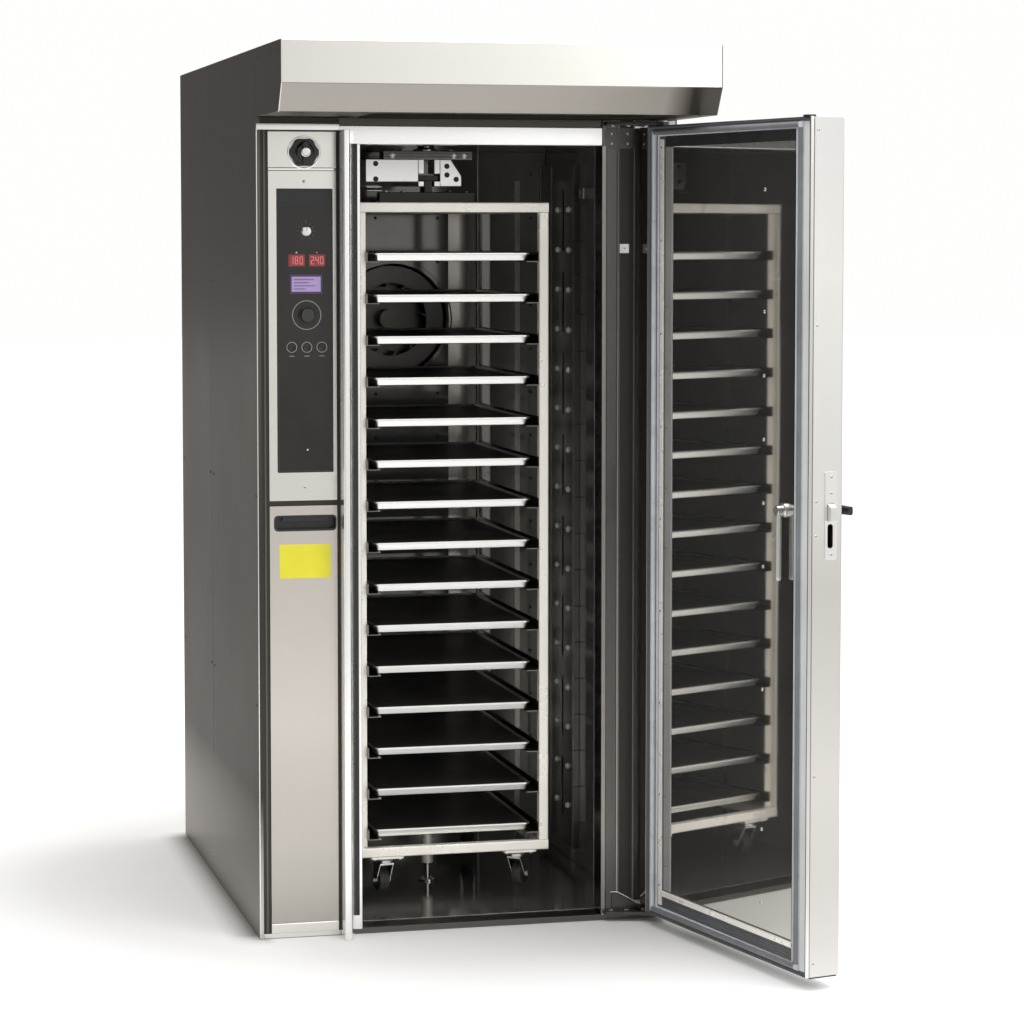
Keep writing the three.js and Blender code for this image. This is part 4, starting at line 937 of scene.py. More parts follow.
def yoke():
    s = Build()
    s.lathe([(0, 1880.2), (19.8, 1880.2), (19.8, 2056), (0, 2056)], "z", (CX, CY), 36)
    s.lathe([(0, 2055), (19.8, 2055), (19.8, 2101.6), (0, 2101.6)], "z", (CX, CY), 36)
    s.lathe([(0, 2057.4), (30, 2057.4), (30, 2063.8), (0, 2063.8)], "z", (CX, CY), 36)
    s.lathe([(19, 1889.8), (34, 1889.8), (34, 1893), (24, 1896.5), (20, 1899)], "z", (CX, CY), 36)
    s.piece("yoke_shaft", BRIGHT, "rack", "drive_yoke")
    s = Build()
    s.box(400.2, 631.8, 466.2, 515.8, 1866.4, 1889.8, bevel=1.6, seg=3)
    s.box(404, 628, 464.6, 466.4, 1873.5, 1876.5, bevel=0.4, mat=1)
    s.box(404, 628, 464.6, 466.4, 1881.5, 1883.5, bevel=0.4, mat=1)
    s.piece("yoke_cross_bar", [POST, RECESS], "rack", "drive_yoke")
    s = Build()
    for x, y in ((610, 466), (583, 466), (424, 466)):
        s.hexbolt((x, y, 1878), (0, -1, 0), 5.5, 4.5)
    for x in (452, 580):
        for y in (478, 504):
            s.hexbolt((x, y, 1889.8), (0, 0, 1), 5.5, 4.5)
    s.piece("yoke_bar_bolts", FORK, "rack")
    # two C rails folded from plate; the tee on the rack's top frame hangs in their slot
    s = Build()
    for xa, xb in ((352.2, 502.6), (529.4, 599.8)):
        out = [(452.3, 1800.3), (529.7, 1800.3), (529.7, 1867.7), (452.3, 1867.7)]
        if xa < 500:
            s.plate([(466, 1800.3), (529.7, 1800.3), (529.7, 1867.7), (452.3, 1867.7), (452.3, 1812)], (), "x", xa, 488, bevel=1.4, seg=3)
            s.plate([(452.3, 1832), (529.7, 1832), (529.7, 1867.7), (452.3, 1867.7)], (), "x", 488, xb, bevel=1.2, seg=2)
            s.plate([(452.3, 1800.3), (529.7, 1800.3), (529.7, 1812.8), (452.3, 1812.8)], (), "x", 488, xb, bevel=1.0, seg=2)
        else:
            cut = [(452.3, 1832), (529.7, 1832), (529.7, 1867.7), (452.3, 1867.7)]
            s.plate(cut, (), "x", xa, 544, bevel=1.2, seg=2)
            s.plate([(452.3, 1800.3), (529.7, 1800.3), (529.7, 1812.8), (452.3, 1812.8)], (), "x", xa, 544, bevel=1.0, seg=2)
            s.plate([(544, 1800.3), (599.8, 1800.3), (599.8, 1826), (572, 1867.7), (544, 1867.7)], (), "y", 452.3, 529.7, bevel=1.4, seg=3)
    s.piece("yoke_c_rails", RAIL, "rack", "drive_yoke")
    s = Build()
    for x, z in ((378, 1857), (378, 1818), (562, 1851), (562, 1829), (586, 1818)):
        s.hexbolt((x, 452.4, z), (0, -1, 0), 5.2, 4.0)
    s.piece("yoke_rail_bolts", BLACK, "rack")
    s = Build()     # bright guide lip in front of the left rail
    s.sheet([(453, 1801), (444, 1796), (440, 1789)], 2.0, "x", 353, 392, radius=3, bevel=0.4)
    s.piece("yoke_guide_lip", BRIGHT, "rack")


# ------------------------------------------------------------------ rack
RX0, RX1, RY0, RY1, RZ0, RZ1, TB = 276.0, 756.0, 171.0, 811.0, 147.0, 1757.0, 24.0


def square_tube_x(s, x0, x1, y0, z0, t=TB, mat=0):
    s.plate(rrect(y0, y0 + t, z0, z0 + t, 3.2, 4), (), "x", x0, x1, bevel=0.3, seg=1, mat=mat, angle=60)


def square_tube_y(s, y0, y1, x0, z0, t=TB, mat=0):
    s.plate(rrect(x0, x0 + t, z0, z0 + t, 3.2, 4), (), "y", y0, y1, bevel=0.3, seg=1, mat=mat, angle=60)


def rack():
    for name, node, z0 in (("rack_top", "rack_top_frame", RZ1 - TB), ("rack_bottom", "rack_bottom_frame", RZ0)):
        s = Build()
        for y in (RY0, RY1 - TB):
            square_tube_x(s, RX0 + 0.2, RX1 - 0.2, y, z0)
        for x in (RX0, RX1 - TB):
            square_tube_y(s, RY0 + TB - 1, RY1 - TB + 1, x, z0)
        square_tube_x(s, RX0 + TB - 2, RX1 - TB + 2, CY - TB / 2, z0)
        # weld beads at the corners
        for x in (RX0 + TB, RX1 - TB):
            for y, d in ((RY0 + TB, 1), (RY1 - TB, -1)):
                pts = [(x, y, z0 + TB * k / 8) for k in range(9)]
                s.tube(pts, [1.5 + 0.35 * ((k * 7) % 3) for k in range(9)], 8)
        s.piece(name + "_tubes", CREAM, "rack", node)
    s = Build()
    s.box(CX - 125, CX + 125, CY - 16, CY + 16, RZ1 - 0.6, 1785.8, bevel=2.0, seg=3)
    s.piece("rack_top_bar", BAR, "rack", "rack_top_frame")
    s = Build()
    s.box(CX - 9.8, CX + 9.8, CY - 27.8, CY + 27.8, 1785, 1816, bevel=1.0, seg=2)
    s.box(CX - 24.8, CX + 24.8, CY - 29.8, CY + 29.8, 1814.2, 1827.8, bevel=1.6, seg=3)
    s.piece("rack_tee", BAR, "rack", "rack_top_frame")
    s = Build()
    for x in (CX - 105, CX - 60, CX + 60, CX + 105):
        s.hexbolt((x, CY, 1785.7), (0, 0, 1), 6, 4.5)
    s.piece("rack_top_bolts", FORK, "rack")

    for sx, name, node in ((-1, "left", "rack_side_left"), (1, "right", "rack_side_right")):
        X = (lambda a, b: (RX0 + a, RX0 + b)) if sx < 0 else (lambda a, b: (RX1 - b, RX1 - a))
        s = Build()
        xa, xb = X(0, TB)
        for y in (RY0, RY1 - TB):
            if sx < 0:      # folded channel, open towards the runners
                far = y + TB - 0.2 if y < CY else y + 0.2
                near = y + 0.2 if y < CY else y + TB - 0.2
                line = [(xa + 10, near), (xa + 0.2, near), (xa + 0.2, far), (xb - 0.2, far)]
                s.sheet(line, 2.6 if y > CY else -2.6, "z", 171.4, 1732.6, radius=2.5, bevel=0.3)
            else:
                s.plate(rrect(xa + 0.1, xb - 0.1, y, y + TB, 3.2, 4), (), "z", 171.4, 1732.6, bevel=0.3, seg=1, angle=60)
        s.piece("rack_uprights_" + name, CREAM, "rack", node)
        s = Build()
        for i in range(15):
            zb = 1624 - 101.5 * i - 10
            u = (TB - 1.0, TB + 0.8)
            p0, p1 = X(*u)
            edge = X(TB - 1.0, 55.6)
            inner = edge[1] if sx < 0 else edge[0]
            outer = edge[0] if sx < 0 else edge[1]
            # folded runner: web and shelf
            pts = [(outer, zb + 21.5), (outer, zb - 2.9), (inner, zb - 2.9)]
            s.sheet(pts if sx < 0 else [(outer, zb + 21.5), (outer, zb - 2.9), (inner, zb - 2.9)], 2.2 if sx < 0 else -2.2, "y", RY0 + 3, RY1 - 3, radius=2.2, bevel=0.35, n=3)
            # tray stop at the back and a spot of weld at each upright
            st = X(34, 50)
            s.box(st[0], st[1], RY1 - 8, RY1 - 5.6, zb - 1.2, zb + 9, bevel=0.5)
            for y in (RY0 + 6, RY0 + 17, RY1 - 17, RY1 - 6):
                wx = X(TB - 0.4, TB + 1.2)
                s.lathe([(0, -1.6), (1.5, -1.2), (2.2, 0), (1.5, 1.2), (0, 1.6)], "z", (0, 0), 10, xf=Matrix.Translation(((wx[0] + wx[1]) / 2, y, zb + 22)))
        s.piece("rack_runners_" + name, RUNNER, "rack", node)
        s = Build()      # plastic end plugs in the uprights' feet
        for y in (RY0, RY1 - TB):
            s.plate(rrect(xa + 1, xb - 1, y + 1, y + TB - 1, 2.5, 3), (), "z", 145.6, 147.2, bevel=0.4, seg=1)
        s.piece("rack_foot_plugs_" + name, BLACK, "rack")

    s = Build()
    for sx in (-1, 1):
        for ya, yb in ((RY0 + 2, RY0 + 90), (RY1 - 90, RY1 - 2)):
            x = CX + sx * 169
            s.plate(rrect(x - 41.8, x + 41.8, ya, yb, 6, 4), (), "z", 141.2, 146.9, bevel=0.8, seg=2)
    s.piece("caster_plates", CREAM, "rack", "rack_bottom_frame")
    s = Build()
    for sx in (-1, 1):
        for ya, yb in ((RY0 + 2, RY0 + 90), (RY1 - 90, RY1 - 2)):
            x = CX + sx * 169
            for dx in (-31, 31):
                for y in (ya + 11, yb - 11):
                    s.hexbolt((x + dx, y, 141.2), (0, 0, -1), 5.5, 4.5)
    s.piece("caster_plate_bolts", FORK, "rack")
    s = Build()     # centre socket, with a flared mouth
    s.lathe([(8.6, 61), (12.6, 60.3), (14.4, 62), (14.4, 146.5), (8.6, 146.5), (8.6, 68)], "z", (CX, CY), 36)
    s.lathe([(14.2, 146), (26, 146), (26, 147.5), (14.2, 147.5)], "z", (CX, CY), 36)
    s.lathe([(14.2, 118), (17.5, 118), (17.5, 124), (14.2, 124)], "z", (CX, CY), 36)
    s.piece("rack_centre_socket", CREAM, "rack", "rack_bottom_frame")
    # fixed forks at the back
    s = Build()
    for sx in (-1, 1):
        x, y = CX + sx * 169, CY + 276
        for side in (-1, 1):
            a, b = (x - 18.3, x - 15.7) if side < 0 else (x + 15.7, x + 18.3)
            out = fillet([(y - 22, 141.4), (y + 22, 141.4), (y + 12, 84), (y + 9, 69), (y - 9, 69), (y - 12, 84), (y - 22, 141.4)], 5, 4)[:-1]
            s.plate(out, [circle(y, 78, 6.6, 20)], "x", a, b, bevel=0.5, seg=2)
        s.box(x - 18.3, x + 18.3, y - 20, y + 20, 138.4, 141.4, bevel=0.6)
    s.piece("rear_forks", FORK, "rack", "rack_bottom_frame")


def wheel(name, x, y, yaw, body, node):
    m = Matrix.Translation((x, y, 78)) @ Matrix.Rotation(math.radians(yaw), 4, "Z")
    s = Build()
    # tyre with a rounded tread and fine grooves
    s.lathe([(22, -12.6), (27.6, -12.9), (28.7, -12.2), (29.7, -9.5), (30, -4.2), (29.3, -3.6), (29.3, -2.8), (30, -2.2), (30, 2.2), (29.3, 2.8), (29.3, 3.6),
             (30, 4.2), (29.7, 9.5), (28.7, 12.2), (27.6, 12.9), (22, 12.6)], "x", (0, 0), 48, xf=m)
    s.piece(name + "_tyre", TYRE, body, node)
    s = Build()
    s.lathe([(7, -14), (9.4, -14), (10, -11.4), (19.4, -10.4), (21, -12), (22.4, -12.2), (22.4, 12.2), (21, 12), (19.4, 10.4), (10, 11.4), (9.4, 14), (7, 14)], "x", (0, 0), 40, xf=m)
    for k in range(5):
        a = 2 * math.pi * k / 5
        s.box(-11.8, 11.8, -1.2, 1.2, 10.0, 21.0, bevel=0.4, xf=m @ Matrix.Rotation(a, 4, "X"))
    s.piece(name + "_hub", BLACK, body)
    s = Build()
    for sd in (-1, 1):
        s.hexbolt((18.6 * sd, 0, 0), (sd, 0, 0), 5.6, 4.6, xf=m)
    s.cyl("x", 0, 0, -19.8, 19.8, 5.9, 24, bevel=0.4, xf=m)
    s.piece(name + "_axle", FORK, body)


def casters():
    for sx, yaw, name in ((-1, 8, "front_left"), (1, -38, "front_right")):
        m = Matrix.Translation((CX + sx * 169, CY - 276, 0)) @ Matrix.Rotation(math.radians(yaw), 4, "Z")
        s = Build()
        s.lathe([(0, 125.6), (20, 125.6), (25.6, 127.8), (25.8, 134), (24, 136.6), (23, 138.4), (21, 140.5), (0, 140.5)], "z", (0, 0), 40, xf=m)
        s.lathe([(21, 131.6), (26.4, 131.6), (26.4, 133.6), (21, 133.6)], "z", (0, 0), 40, xf=m)
        s.box(-18.3, 18.3, -21, 28, 121.6, 126.4, bevel=1.2, seg=2, xf=m)
        for side in (-1, 1):
            a, b = (-18.4, -15.8) if side < 0 else (15.8, 18.4)
            out = fillet([(-21, 126), (28, 126), (33, 86), (29, 69), (16, 68), (8, 78), (-21, 126)], 5, 4)[:-1]
            s.plate(out, [circle(22, 78, 6.6, 20)], "x", a, b, bevel=0.6, seg=2, xf=m)
        s.lathe([(0, 120.2), (6.5, 120.2), (6.5, 121.8), (0, 121.8)], "z", (0, 0), 6, xf=m)
        s.piece("fork_" + name, FORK, "caster_" + name, "caster_fork_" + name)
        c = m @ Vector((0, 22, 0))
        wheel("wheel_" + name, c.x, c.y, yaw, "wheel_" + name, "wheel_" + name)
    for sx, name in ((-1, "rear_left"), (1, "rear_right")):
        wheel("wheel_" + name, CX + sx * 169, CY + 276, 0, "wheel_" + name, "wheel_" + name)
    s = Build()
    s.lathe([(0, 15.35), (23, 15.35), (24, 16.4), (24, 19.6), (22.6, 21), (8.4, 21), (7, 22.6), (7, 104), (4.6, 107.8), (0, 108)], "z", (CX, CY), 40)
    for k in range(4):
        a = math.radians(45 + 90 * k)
        s.lathe([(0, 20.8), (2.6, 20.8), (2.6, 22), (1.8, 22.6), (0, 22.6)], "z", (CX + 16 * math.cos(a), CY + 16 * math.sin(a)), 12)
    s.piece("floor_pin_turned", BRIGHT, "cabinet", "floor_pin")


def trays():
    for i in range(15):
        z = 1624 - 101.5 * i
        x0, x1, y0, y1 = CX - 200, CX + 200, CY - 300, CY + 300
        s = Build()
        n = 5

        def loop(inset, h, r):
            return [(px, py, z + h) for px, py in rrect(x0 + inset, x1 - inset, y0 + inset, y1 - inset, r, n)]
        loops = [loop(6.2, 4.6, 8), loop(4.4, 9.3, 10), loop(2.2, 9.95, 12), loop(0.5, 9.2, 13.5), loop(0.0, 7.2, 14), loop(0.3, 5.4, 13.7), loop(1.3, 4.9, 12.7),
                 loop(1.8, 6.2, 12.2), loop(2.6, 7.6, 11.4), loop(4.0, 7.4, 10), loop(5.2, 4.2, 9), loop(9.2, -8.2, 7), loop(11.0, -9.9, 6)]
        s.loft(loops[::-1] + [loop(6.9, 4.0, 8.2)], closed=False)
        # inner faces take the painted-shade material
        s.loft([loop(6.7, 4.7, 8.1), loop(7.5, 2.6, 8), loop(10.4, -7.0, 6.6), loop(12.2, -8.3, 5.6)], mat=1, closed=False)
        s.piece("tray_pan_%02d" % (i + 1), [ALU, TRAY_INNER_SHADE], "tray_%02d" % (i + 1), "tray_%02d" % (i + 1), smooth=50)


# ------------------------------------------------------------------ door
def door():
    X0, X1, Y0, Y1, Z0, Z1 = 236.0, 970.0, -92.0, -14.0, 30.0, 1938.0
    gx0, gx1, gz0, gz1 = 392.0, 858.0, 62.0, 1906.0
    s = Build()      # outer skin round the window, free end, hinge end, top and bottom caps
    s.plate(rrect(X0 + 0.3, X1 - 0.3, Z0 + 0.3, Z1 - 0.3, 4, 4), [rrect(gx0, gx1, gz0, gz1, 5, 4), circle(342, 1066, 9, 24)], "y", Y0 + 0.2, Y0 + 2.4, bevel=0.7, seg=2)
    s.piece("door_outer_skin", STEEL_Z, "door", "door_shell", leaf=True)
    s = Build()
    s.plate(rrect(X0 + 0.3, X1 - 0.3, Z0 + 0.3, Z1 - 0.3, 4, 4), [rrect(gx0 - 3, gx1 + 3, gz0 - 3, gz1 + 3, 5, 4), circle(342, 1066, 9, 24)], "y", Y1 - 2.4, Y1 - 0.3, bevel=0.7, seg=2)
    s.piece("door_inner_skin", MIRROR, "door", "door_shell", leaf=True)
    s = Build()
    hole_b = rrect(-72.5, -53.5, 1047.5, 1088.5, 3, 3)
    hole_s = rrect(-68, -54, 988, 1042, 6, 4)
    s.plate(rrect(Y0 + 2.0, Y1 - 2.0, Z0 + 1.5, Z1 - 1.5, 0.6, 1), [hole_b, hole_s], "x", X0 + 0.2, X0 + 2.4, bevel=0.3, seg=1)
    s.plate(rrect(Y0 + 2.0, Y1 - 2.0, Z0 + 1.5, Z1 - 1.5, 0.6, 1), (), "x", X1 - 2.4, X1 - 0.2, bevel=0.3, seg=1)
    s.box(X0 + 2, X1 - 2, Y0 + 2, Y1 - 2, Z1 - 2.2, Z1 - 0.2, bevel=0.3)
    s.box(X0 + 2, X1 - 2, Y0 + 2, Y1 - 2, Z0 + 0.2, Z0 + 2.2, bevel=0.3)
    s.box(X0 + 2.3, X0 + 60, -74, -73, 960, 1110)
    s.box(X0 + 2.3, X0 + 60, -53, -52, 960, 1110)
    s.piece("door_edges", DOOR_END, "door", "door_shell", leaf=True)
    s = Build()      # knuckles and pins
    kn = fillet([(950, -34), (985, -34), (993, -42), (993, -58), (985, -66), (950, -66), (950, -34)], 4, 3)[:-1]
    s.plate(kn, (), "z", Z1 - 11.8, Z1 - 0.1, bevel=0.9, seg=2)
    s.plate(kn, (), "z", Z0 + 0.1, Z0 + 11.8, bevel=0.9, seg=2)
    s.cyl("z", 979, -50, Z1 - 9, 1949.3, 7.7, 28, bevel=0.6)
    s.cyl("z", 979, -50, 16.7, Z0 + 9, 7.7, 28, bevel=0.6)
    s.piece("door_knuckles", LUG, "door", "door_shell", leaf=True)
    # window frames: rolled bead outside, retainer strips inside, with screws
    s = Build()
    s.rim([(-9, Y0 + 0.3), (-9, Y0 - 0.4), (-6, Y0 - 1.6), (-1.5, Y0 - 1.6), (0.5, Y0 - 0.6), (0.5, Y0 + 2.2), (-9, Y0 + 2.2)], gx0, gx1, gz0, gz1)
    s.piece("window_bead_outer", BRIGHT, "door", leaf=True)

    s = Build()
    s.plate(rrect(gx0 - 7.6, gx1 + 7.6, gz0 - 7.6, gz1 + 7.6, 4, 4), (), "y", -88.5, -82.7, bevel=0.6, seg=2)
    s.piece("outer_pane", GLASS_OUT, "door", "door_outer_glass", leaf=True)
    # the hinged inner pane covers most of the door's inner face
    ix0, ix1, iz0, iz1 = 303.0, 905.0, 66.0, 1905.0
    s = Build()
    s.plate(rrect(gx0 - 7.6, gx1 + 7.6, gz0 - 7.6, gz1 + 7.6, 4, 4), (), "y", -23.3, -18.4, bevel=0.6, seg=2)
    s.plate(rrect(ix0, ix1, iz0, iz1, 5, 4), (), "y", Y1 - 0.35, Y1 + 3.0, bevel=0.6, seg=2)
    s.piece("inner_pane", GLASS_IN, "door", "door_inner_glass", leaf=True)
    s = Build()
    s.rim([(0.8, Y1 + 2.9), (4.5, Y1 + 2.9), (4.5, Y1 + 3.12), (0.8, Y1 + 3.12)], ix0, ix1, iz0, iz1)
    s.piece("inner_pane_border", BORDER, "door", leaf=True)
    s = Build()
    for z in (1506, 1362, 1218, 1074, 930, 330, 650, 1780, 160):
        s.lathe([(0, Y1 + 2.9), (4.6, Y1 + 2.9), (4.2, Y1 + 4.4), (2.6, Y1 + 5.0), (0, Y1 + 5.0)], "y", (437, z), 20)
        s.lathe([(0, Y1 + 2.9), (4.6, Y1 + 2.9), (4.2, Y1 + 4.4), (2.6, Y1 + 5.0), (0, Y1 + 5.0)], "y", (880, z), 20)
    s.piece("inner_pane_screws", FORK, "door", leaf=True)
    s = Build()      # pane hinge strip on the pin side
    s.plate(rrect(897, 912, 62, 1905, 1, 2), (), "y", Y1 + 2.9, Y1 + 6.4, bevel=0.9, seg=2)
    s.piece("pane_hinge_strip", CREAM, "door", leaf=True)
    s = Build()
    for z in [110 + 222 * k for k in range(9)]:
        s.pan((904.6, Y1 + 6.3, z), (0, 1, 0), 3.0, 0.8, slot=1)
    s.piece("pane_hinge_screws", [FORK, BLACK], "door", leaf=True)

    # gasket: a channel, a hollow bulb lip and two fins, mitred round the door
    gx0, gx1, gz0, gz1 = 238.3, 967.7, 32.3, 1935.7
    s = Build()
    s.rim([(7.6, Y1 + 0.3), (7.2, -8.0), (8.6, -4.2), (12.0, -1.6), (16.0, -1.3), (19.6, -3.6), (20.6, -8.0), (20.2, Y1 + 0.3)], gx0 + 27, gx1 - 13, gz0, gz1)
    s.rim([(29.4, Y1 + 0.3), (29.0, -9.6), (30.4, -7.4), (33.2, -7.0), (35.2, -8.4), (35.6, Y1 + 0.3)], gx0 + 27, gx1 - 13, gz0 - 12, gz1 + 12)
    s.piece("gasket_lips", RUBBER, "door", "door_gasket", leaf=True, smooth=60)
    s = Build()
    s.rim([(0.0, Y1 + 0.3), (0.0, -7.0), (1.6, -5.4), (4.0, -6.4), (7.8, Y1 + 3.0), (7.8, Y1 + 0.3)], gx0, gx1, gz0, gz1)
    s.rim([(20.0, Y1 + 0.3), (20.0, Y1 + 3.0), (29.6, Y1 + 3.0), (29.6, Y1 + 0.3)], gx0 + 27, gx1 - 13, gz0 - 12, gz1 + 12)
    for a, b in ((gx1 - 20.6, gx1 - 7.9), (888.0, 918.8)):
        s.box(a, b, Y1 - 0.2, Y1 + 3.2, gz0 + 8, gz1 - 8, bevel=0.6)
    s.piece("gasket_channel", RUBBER_DARK, "door", "door_gasket", leaf=True)
    s = Build()      # black band over the pane's top edge
    s.box(301.2, 888.8, Y1 - 0.2, Y1 + 4.6, 1886.5, gz1 - 22.8, bevel=0.8)
    s.piece("pane_top_band", BLACK_SOFT, "door", leaf=True)
    s = Build()      # darker skin on three runs of the gasket
    s.plate([(-8.0, gz1 - 7.0), (-4.05, gz1 - 8.45), (-1.45, gz1 - 11.95), (-1.18, gz1 - 16.05), (-3.5, gz1 - 19.75), (-8.0, gz1 - 20.8)], (), "x", gx0 + 45, gx1 - 31, bevel=0.2, angle=60)
    s.plate([(-8.0, gz0 + 7.0), (-4.05, gz0 + 8.45), (-1.45, gz0 + 11.95), (-1.18, gz0 + 16.05), (-3.5, gz0 + 19.75), (-8.0, gz0 + 20.8)][::-1], (), "x", gx0 + 45, gx1 - 31, bevel=0.2, angle=60)
    s.plate([(gx0 + 34.0, -8.0), (gx0 + 35.45, -4.05), (gx0 + 38.95, -1.45), (gx0 + 43.05, -1.18), (gx0 + 46.75, -3.5), (gx0 + 47.8, -8.0)], (), "z", gz0 + 21, gz1 - 21, bevel=0.2, angle=60)
    s.piece("gasket_darker_runs", RUBBER_MID, "door", leaf=True)
    s = Build()      # black sweep under the free end
    s.box(240, 838, Y0 + 3, Y1 - 3, Z0 - 3.6, Z0 + 0.3, bevel=0.8)
    s.piece("door_bottom_sweep", BLACK_SOFT, "door", leaf=True)
    s = Build()      # satin strip between the gasket and the free end
    s.plate(rrect(gx0 + 8.0, gx0 + 33.8, gz0 + 8, gz1 - 8, 1.5, 3), (), "y", Y1 - 0.2, Y1 + 3.4, bevel=0.9, seg=2)
    s.piece("gasket_end_strip", PALE, "door", leaf=True)
    s = Build()      # folded steel edge round the gasket
    s.rim([(-2.0, Y1 + 0.3), (-2.0, -6.0), (-1.4, -5.2), (-0.7, -5.2), (-0.2, -6.0), (-0.2, Y1 + 0.3)], gx0, gx1, gz0, gz1)
    s.piece("gasket_edge_trim", EDGE, "door", leaf=True)
    s = Build()      # sill of the pane: a light retainer, a dark groove and small ribs
    s.sheet([(Y1 + 2.9, 97), (Y1 + 6.2, 97), (Y1 + 6.2, 85.6), (Y1 + 2.9, 85.6)], 1.4, "x", 302, 895, radius=1.4, bevel=0.2)
    s.piece("pane_retainer", CREAM, "door", leaf=True)
    s = Build()
    s.box(300, 904, Y1 + 2.9, Y1 + 4.4, 98.5, 101.5, bevel=0.4)
    s.box(302, 895, Y1 - 0.2, Y1 + 3.6, 57, 84.4, bevel=0.8)
    for h in (62, 69, 76, 82):
        s.tube([(303, Y1 + 3.8, h), (450, Y1 + 3.8, h), (700, Y1 + 3.8, h), (894, Y1 + 3.8, h)], 1.5, 8)
    s.piece("drip_channel", RUBBER_DARK, "door", leaf=True)
    s = Build()      # grey channel that holds the pane on the pin side
    s.sheet([(887.0, Y1 + 2.9), (887.0, Y1 + 5.0), (856, Y1 + 5.0), (856, Y1 + 2.9)], 1.2, "z", 102, 1886, radius=1.2, bevel=0.2)
    s.piece("pane_channel", GREY_PAINT, "door", leaf=True)
    s = Build()      # polished flange behind the gasket on the pin side
    s.box(968.6, 1011.5, Y1 - 1.6, Y1 + 0.1, Z0 + 3, Z1 - 3, bevel=0.3)
    s.box(968.0, 969.4, Y1 - 12, Y1 - 1.0, Z0 + 14, Z1 - 14, bevel=0.2)
    s.piece("door_pin_side_flange", MIRROR, "door", leaf=True)
    s = Build()      # caps on the gasket corners
    s.box(X0 + 1.5, X0 + 26, Y1 - 6, -1.0, Z1 - 1.5, Z1 + 3.5, bevel=1.2)
    s.lathe([(0, Z1 - 0.2), (9, Z1 - 0.2), (9, Z1 + 1.6), (7.5, Z1 + 2.6), (0, Z1 + 2.6)], "z", (936, -36), 24)
    s.piece("gasket_corner_caps", BLACK_SOFT, "door", leaf=True)

    # free end: latch plate, screws, bolt, slot guide
    s = Build()
    s.plate(rrect(-78.6, -47.4, 962, 1158, 4, 4), [rrect(-72.4, -53.6, 1047.6, 1088.4, 3, 3), rrect(-67.9, -54.1, 988.2, 1041.8, 6, 4)], "x", X0 - 1.5, X0 + 0.3, bevel=0.5, seg=2)
    s.piece("latch_plate", WHITE_STEEL, "door", leaf=True)
    s = Build()
    for y, z in ((-63, 1146), (-63, 1110), (-63, 974)):
        s.pan((X0 - 1.4, y, z), (-1, 0, 0), 3.6, 1.4, slot=1)
    for z in (1092, 1016, 60, 480, 1480, 1908):
        s.pan((X0 + 0.1, -25, z), (-1, 0, 0), 3.2, 1.2, slot=1)
    s.piece("free_end_screws", [FORK, BLACK], "door", leaf=True)
    s = Build()
    s.plate([(222.4, 1048.4), (262, 1048.4), (262, 1087.6), (234, 1087.6), (222.4, 1080)], (), "y", -71.7, -54.3, bevel=1.4, seg=3)
    s.box(260, 317.6, -68.7, -57.3, 1060.3, 1075.7, bevel=0.8)
    s.piece("latch_bolt_body", KNOB_ALU, "latch_bolt", "latch_bolt", leaf=True)

    # outside lever: rose, spindle, tapered lever
    s = Build()
    s.lathe([(0, Y0 - 0.3), (22, Y0 - 0.3), (22, -96), (20.6, -98), (18, -99), (0, -99)], "y", (342, 1066), 44)
    s.lathe([(0, -98), (12.4, -98), (11.6, -104), (11.6, -122), (0, -122)], "y", (342, 1066), 32)
    s.cyl("y", 342, 1066, -98, -62, 7.8, 20)
    sec = []
    for k in range(9):
        u = k / 8
        x = 354 - 93.4 * u
        hz = 12 * (1 - 0.20 * u)
        yo = -124 - 6 * math.sin(math.pi * u * 0.5)
        half = 6.4 * (1 - 0.12 * u)
        sec.append([(x, yo - 1.0 + half * math.copysign(abs(math.cos(a)) ** 0.55, math.cos(a)), 1066 + hz * math.copysign(abs(math.sin(a)) ** 0.6, math.sin(a)))
                    for a in [2 * math.pi * j / 24 for j in range(24)]])
    s.loft(sec)
    s.piece("outside_lever", BLACK_SOFT, "door_handle", "door_handle", leaf=True, smooth=50)
    s = Build()
    for k in range(2):
        a = math.pi * k
        s.pan((342 + 16 * math.cos(a), -98.8, 1066 + 16 * math.sin(a)), (0, -1, 0), 2.6, 1.0, slot=1)
    s.piece("outside_lever_screws", [FORK, BLACK], "door_handle", leaf=True)

    # inner release: boss, bent rod with a ball end
    s = Build()
    s.lathe([(0, Y1 + 0.4), (17, Y1 + 0.4), (17, -6), (15.8, -3), (12.4, -1.4), (11.8, 12.6), (10.6, 14), (0, 14)], "y", (342, 1066), 40)
    s.cyl("y", 342, 1066, -50, Y1 + 1, 7.8, 20)
    pts = [(342, 6, 1062), (342, 6, 1040), (342, 6, 1000), (342, 6, 950), (342, 6, 916)]
    s.tube(pts, 5.9, 16)
    s.lathe([(0, 908.2), (4.5, 909), (6.0, 912), (6.0, 917), (0, 917)], "z", (342, 6), 20)
    s.piece("inner_release_rod", FORK, "inner_release", "inner_release", leaf=True)


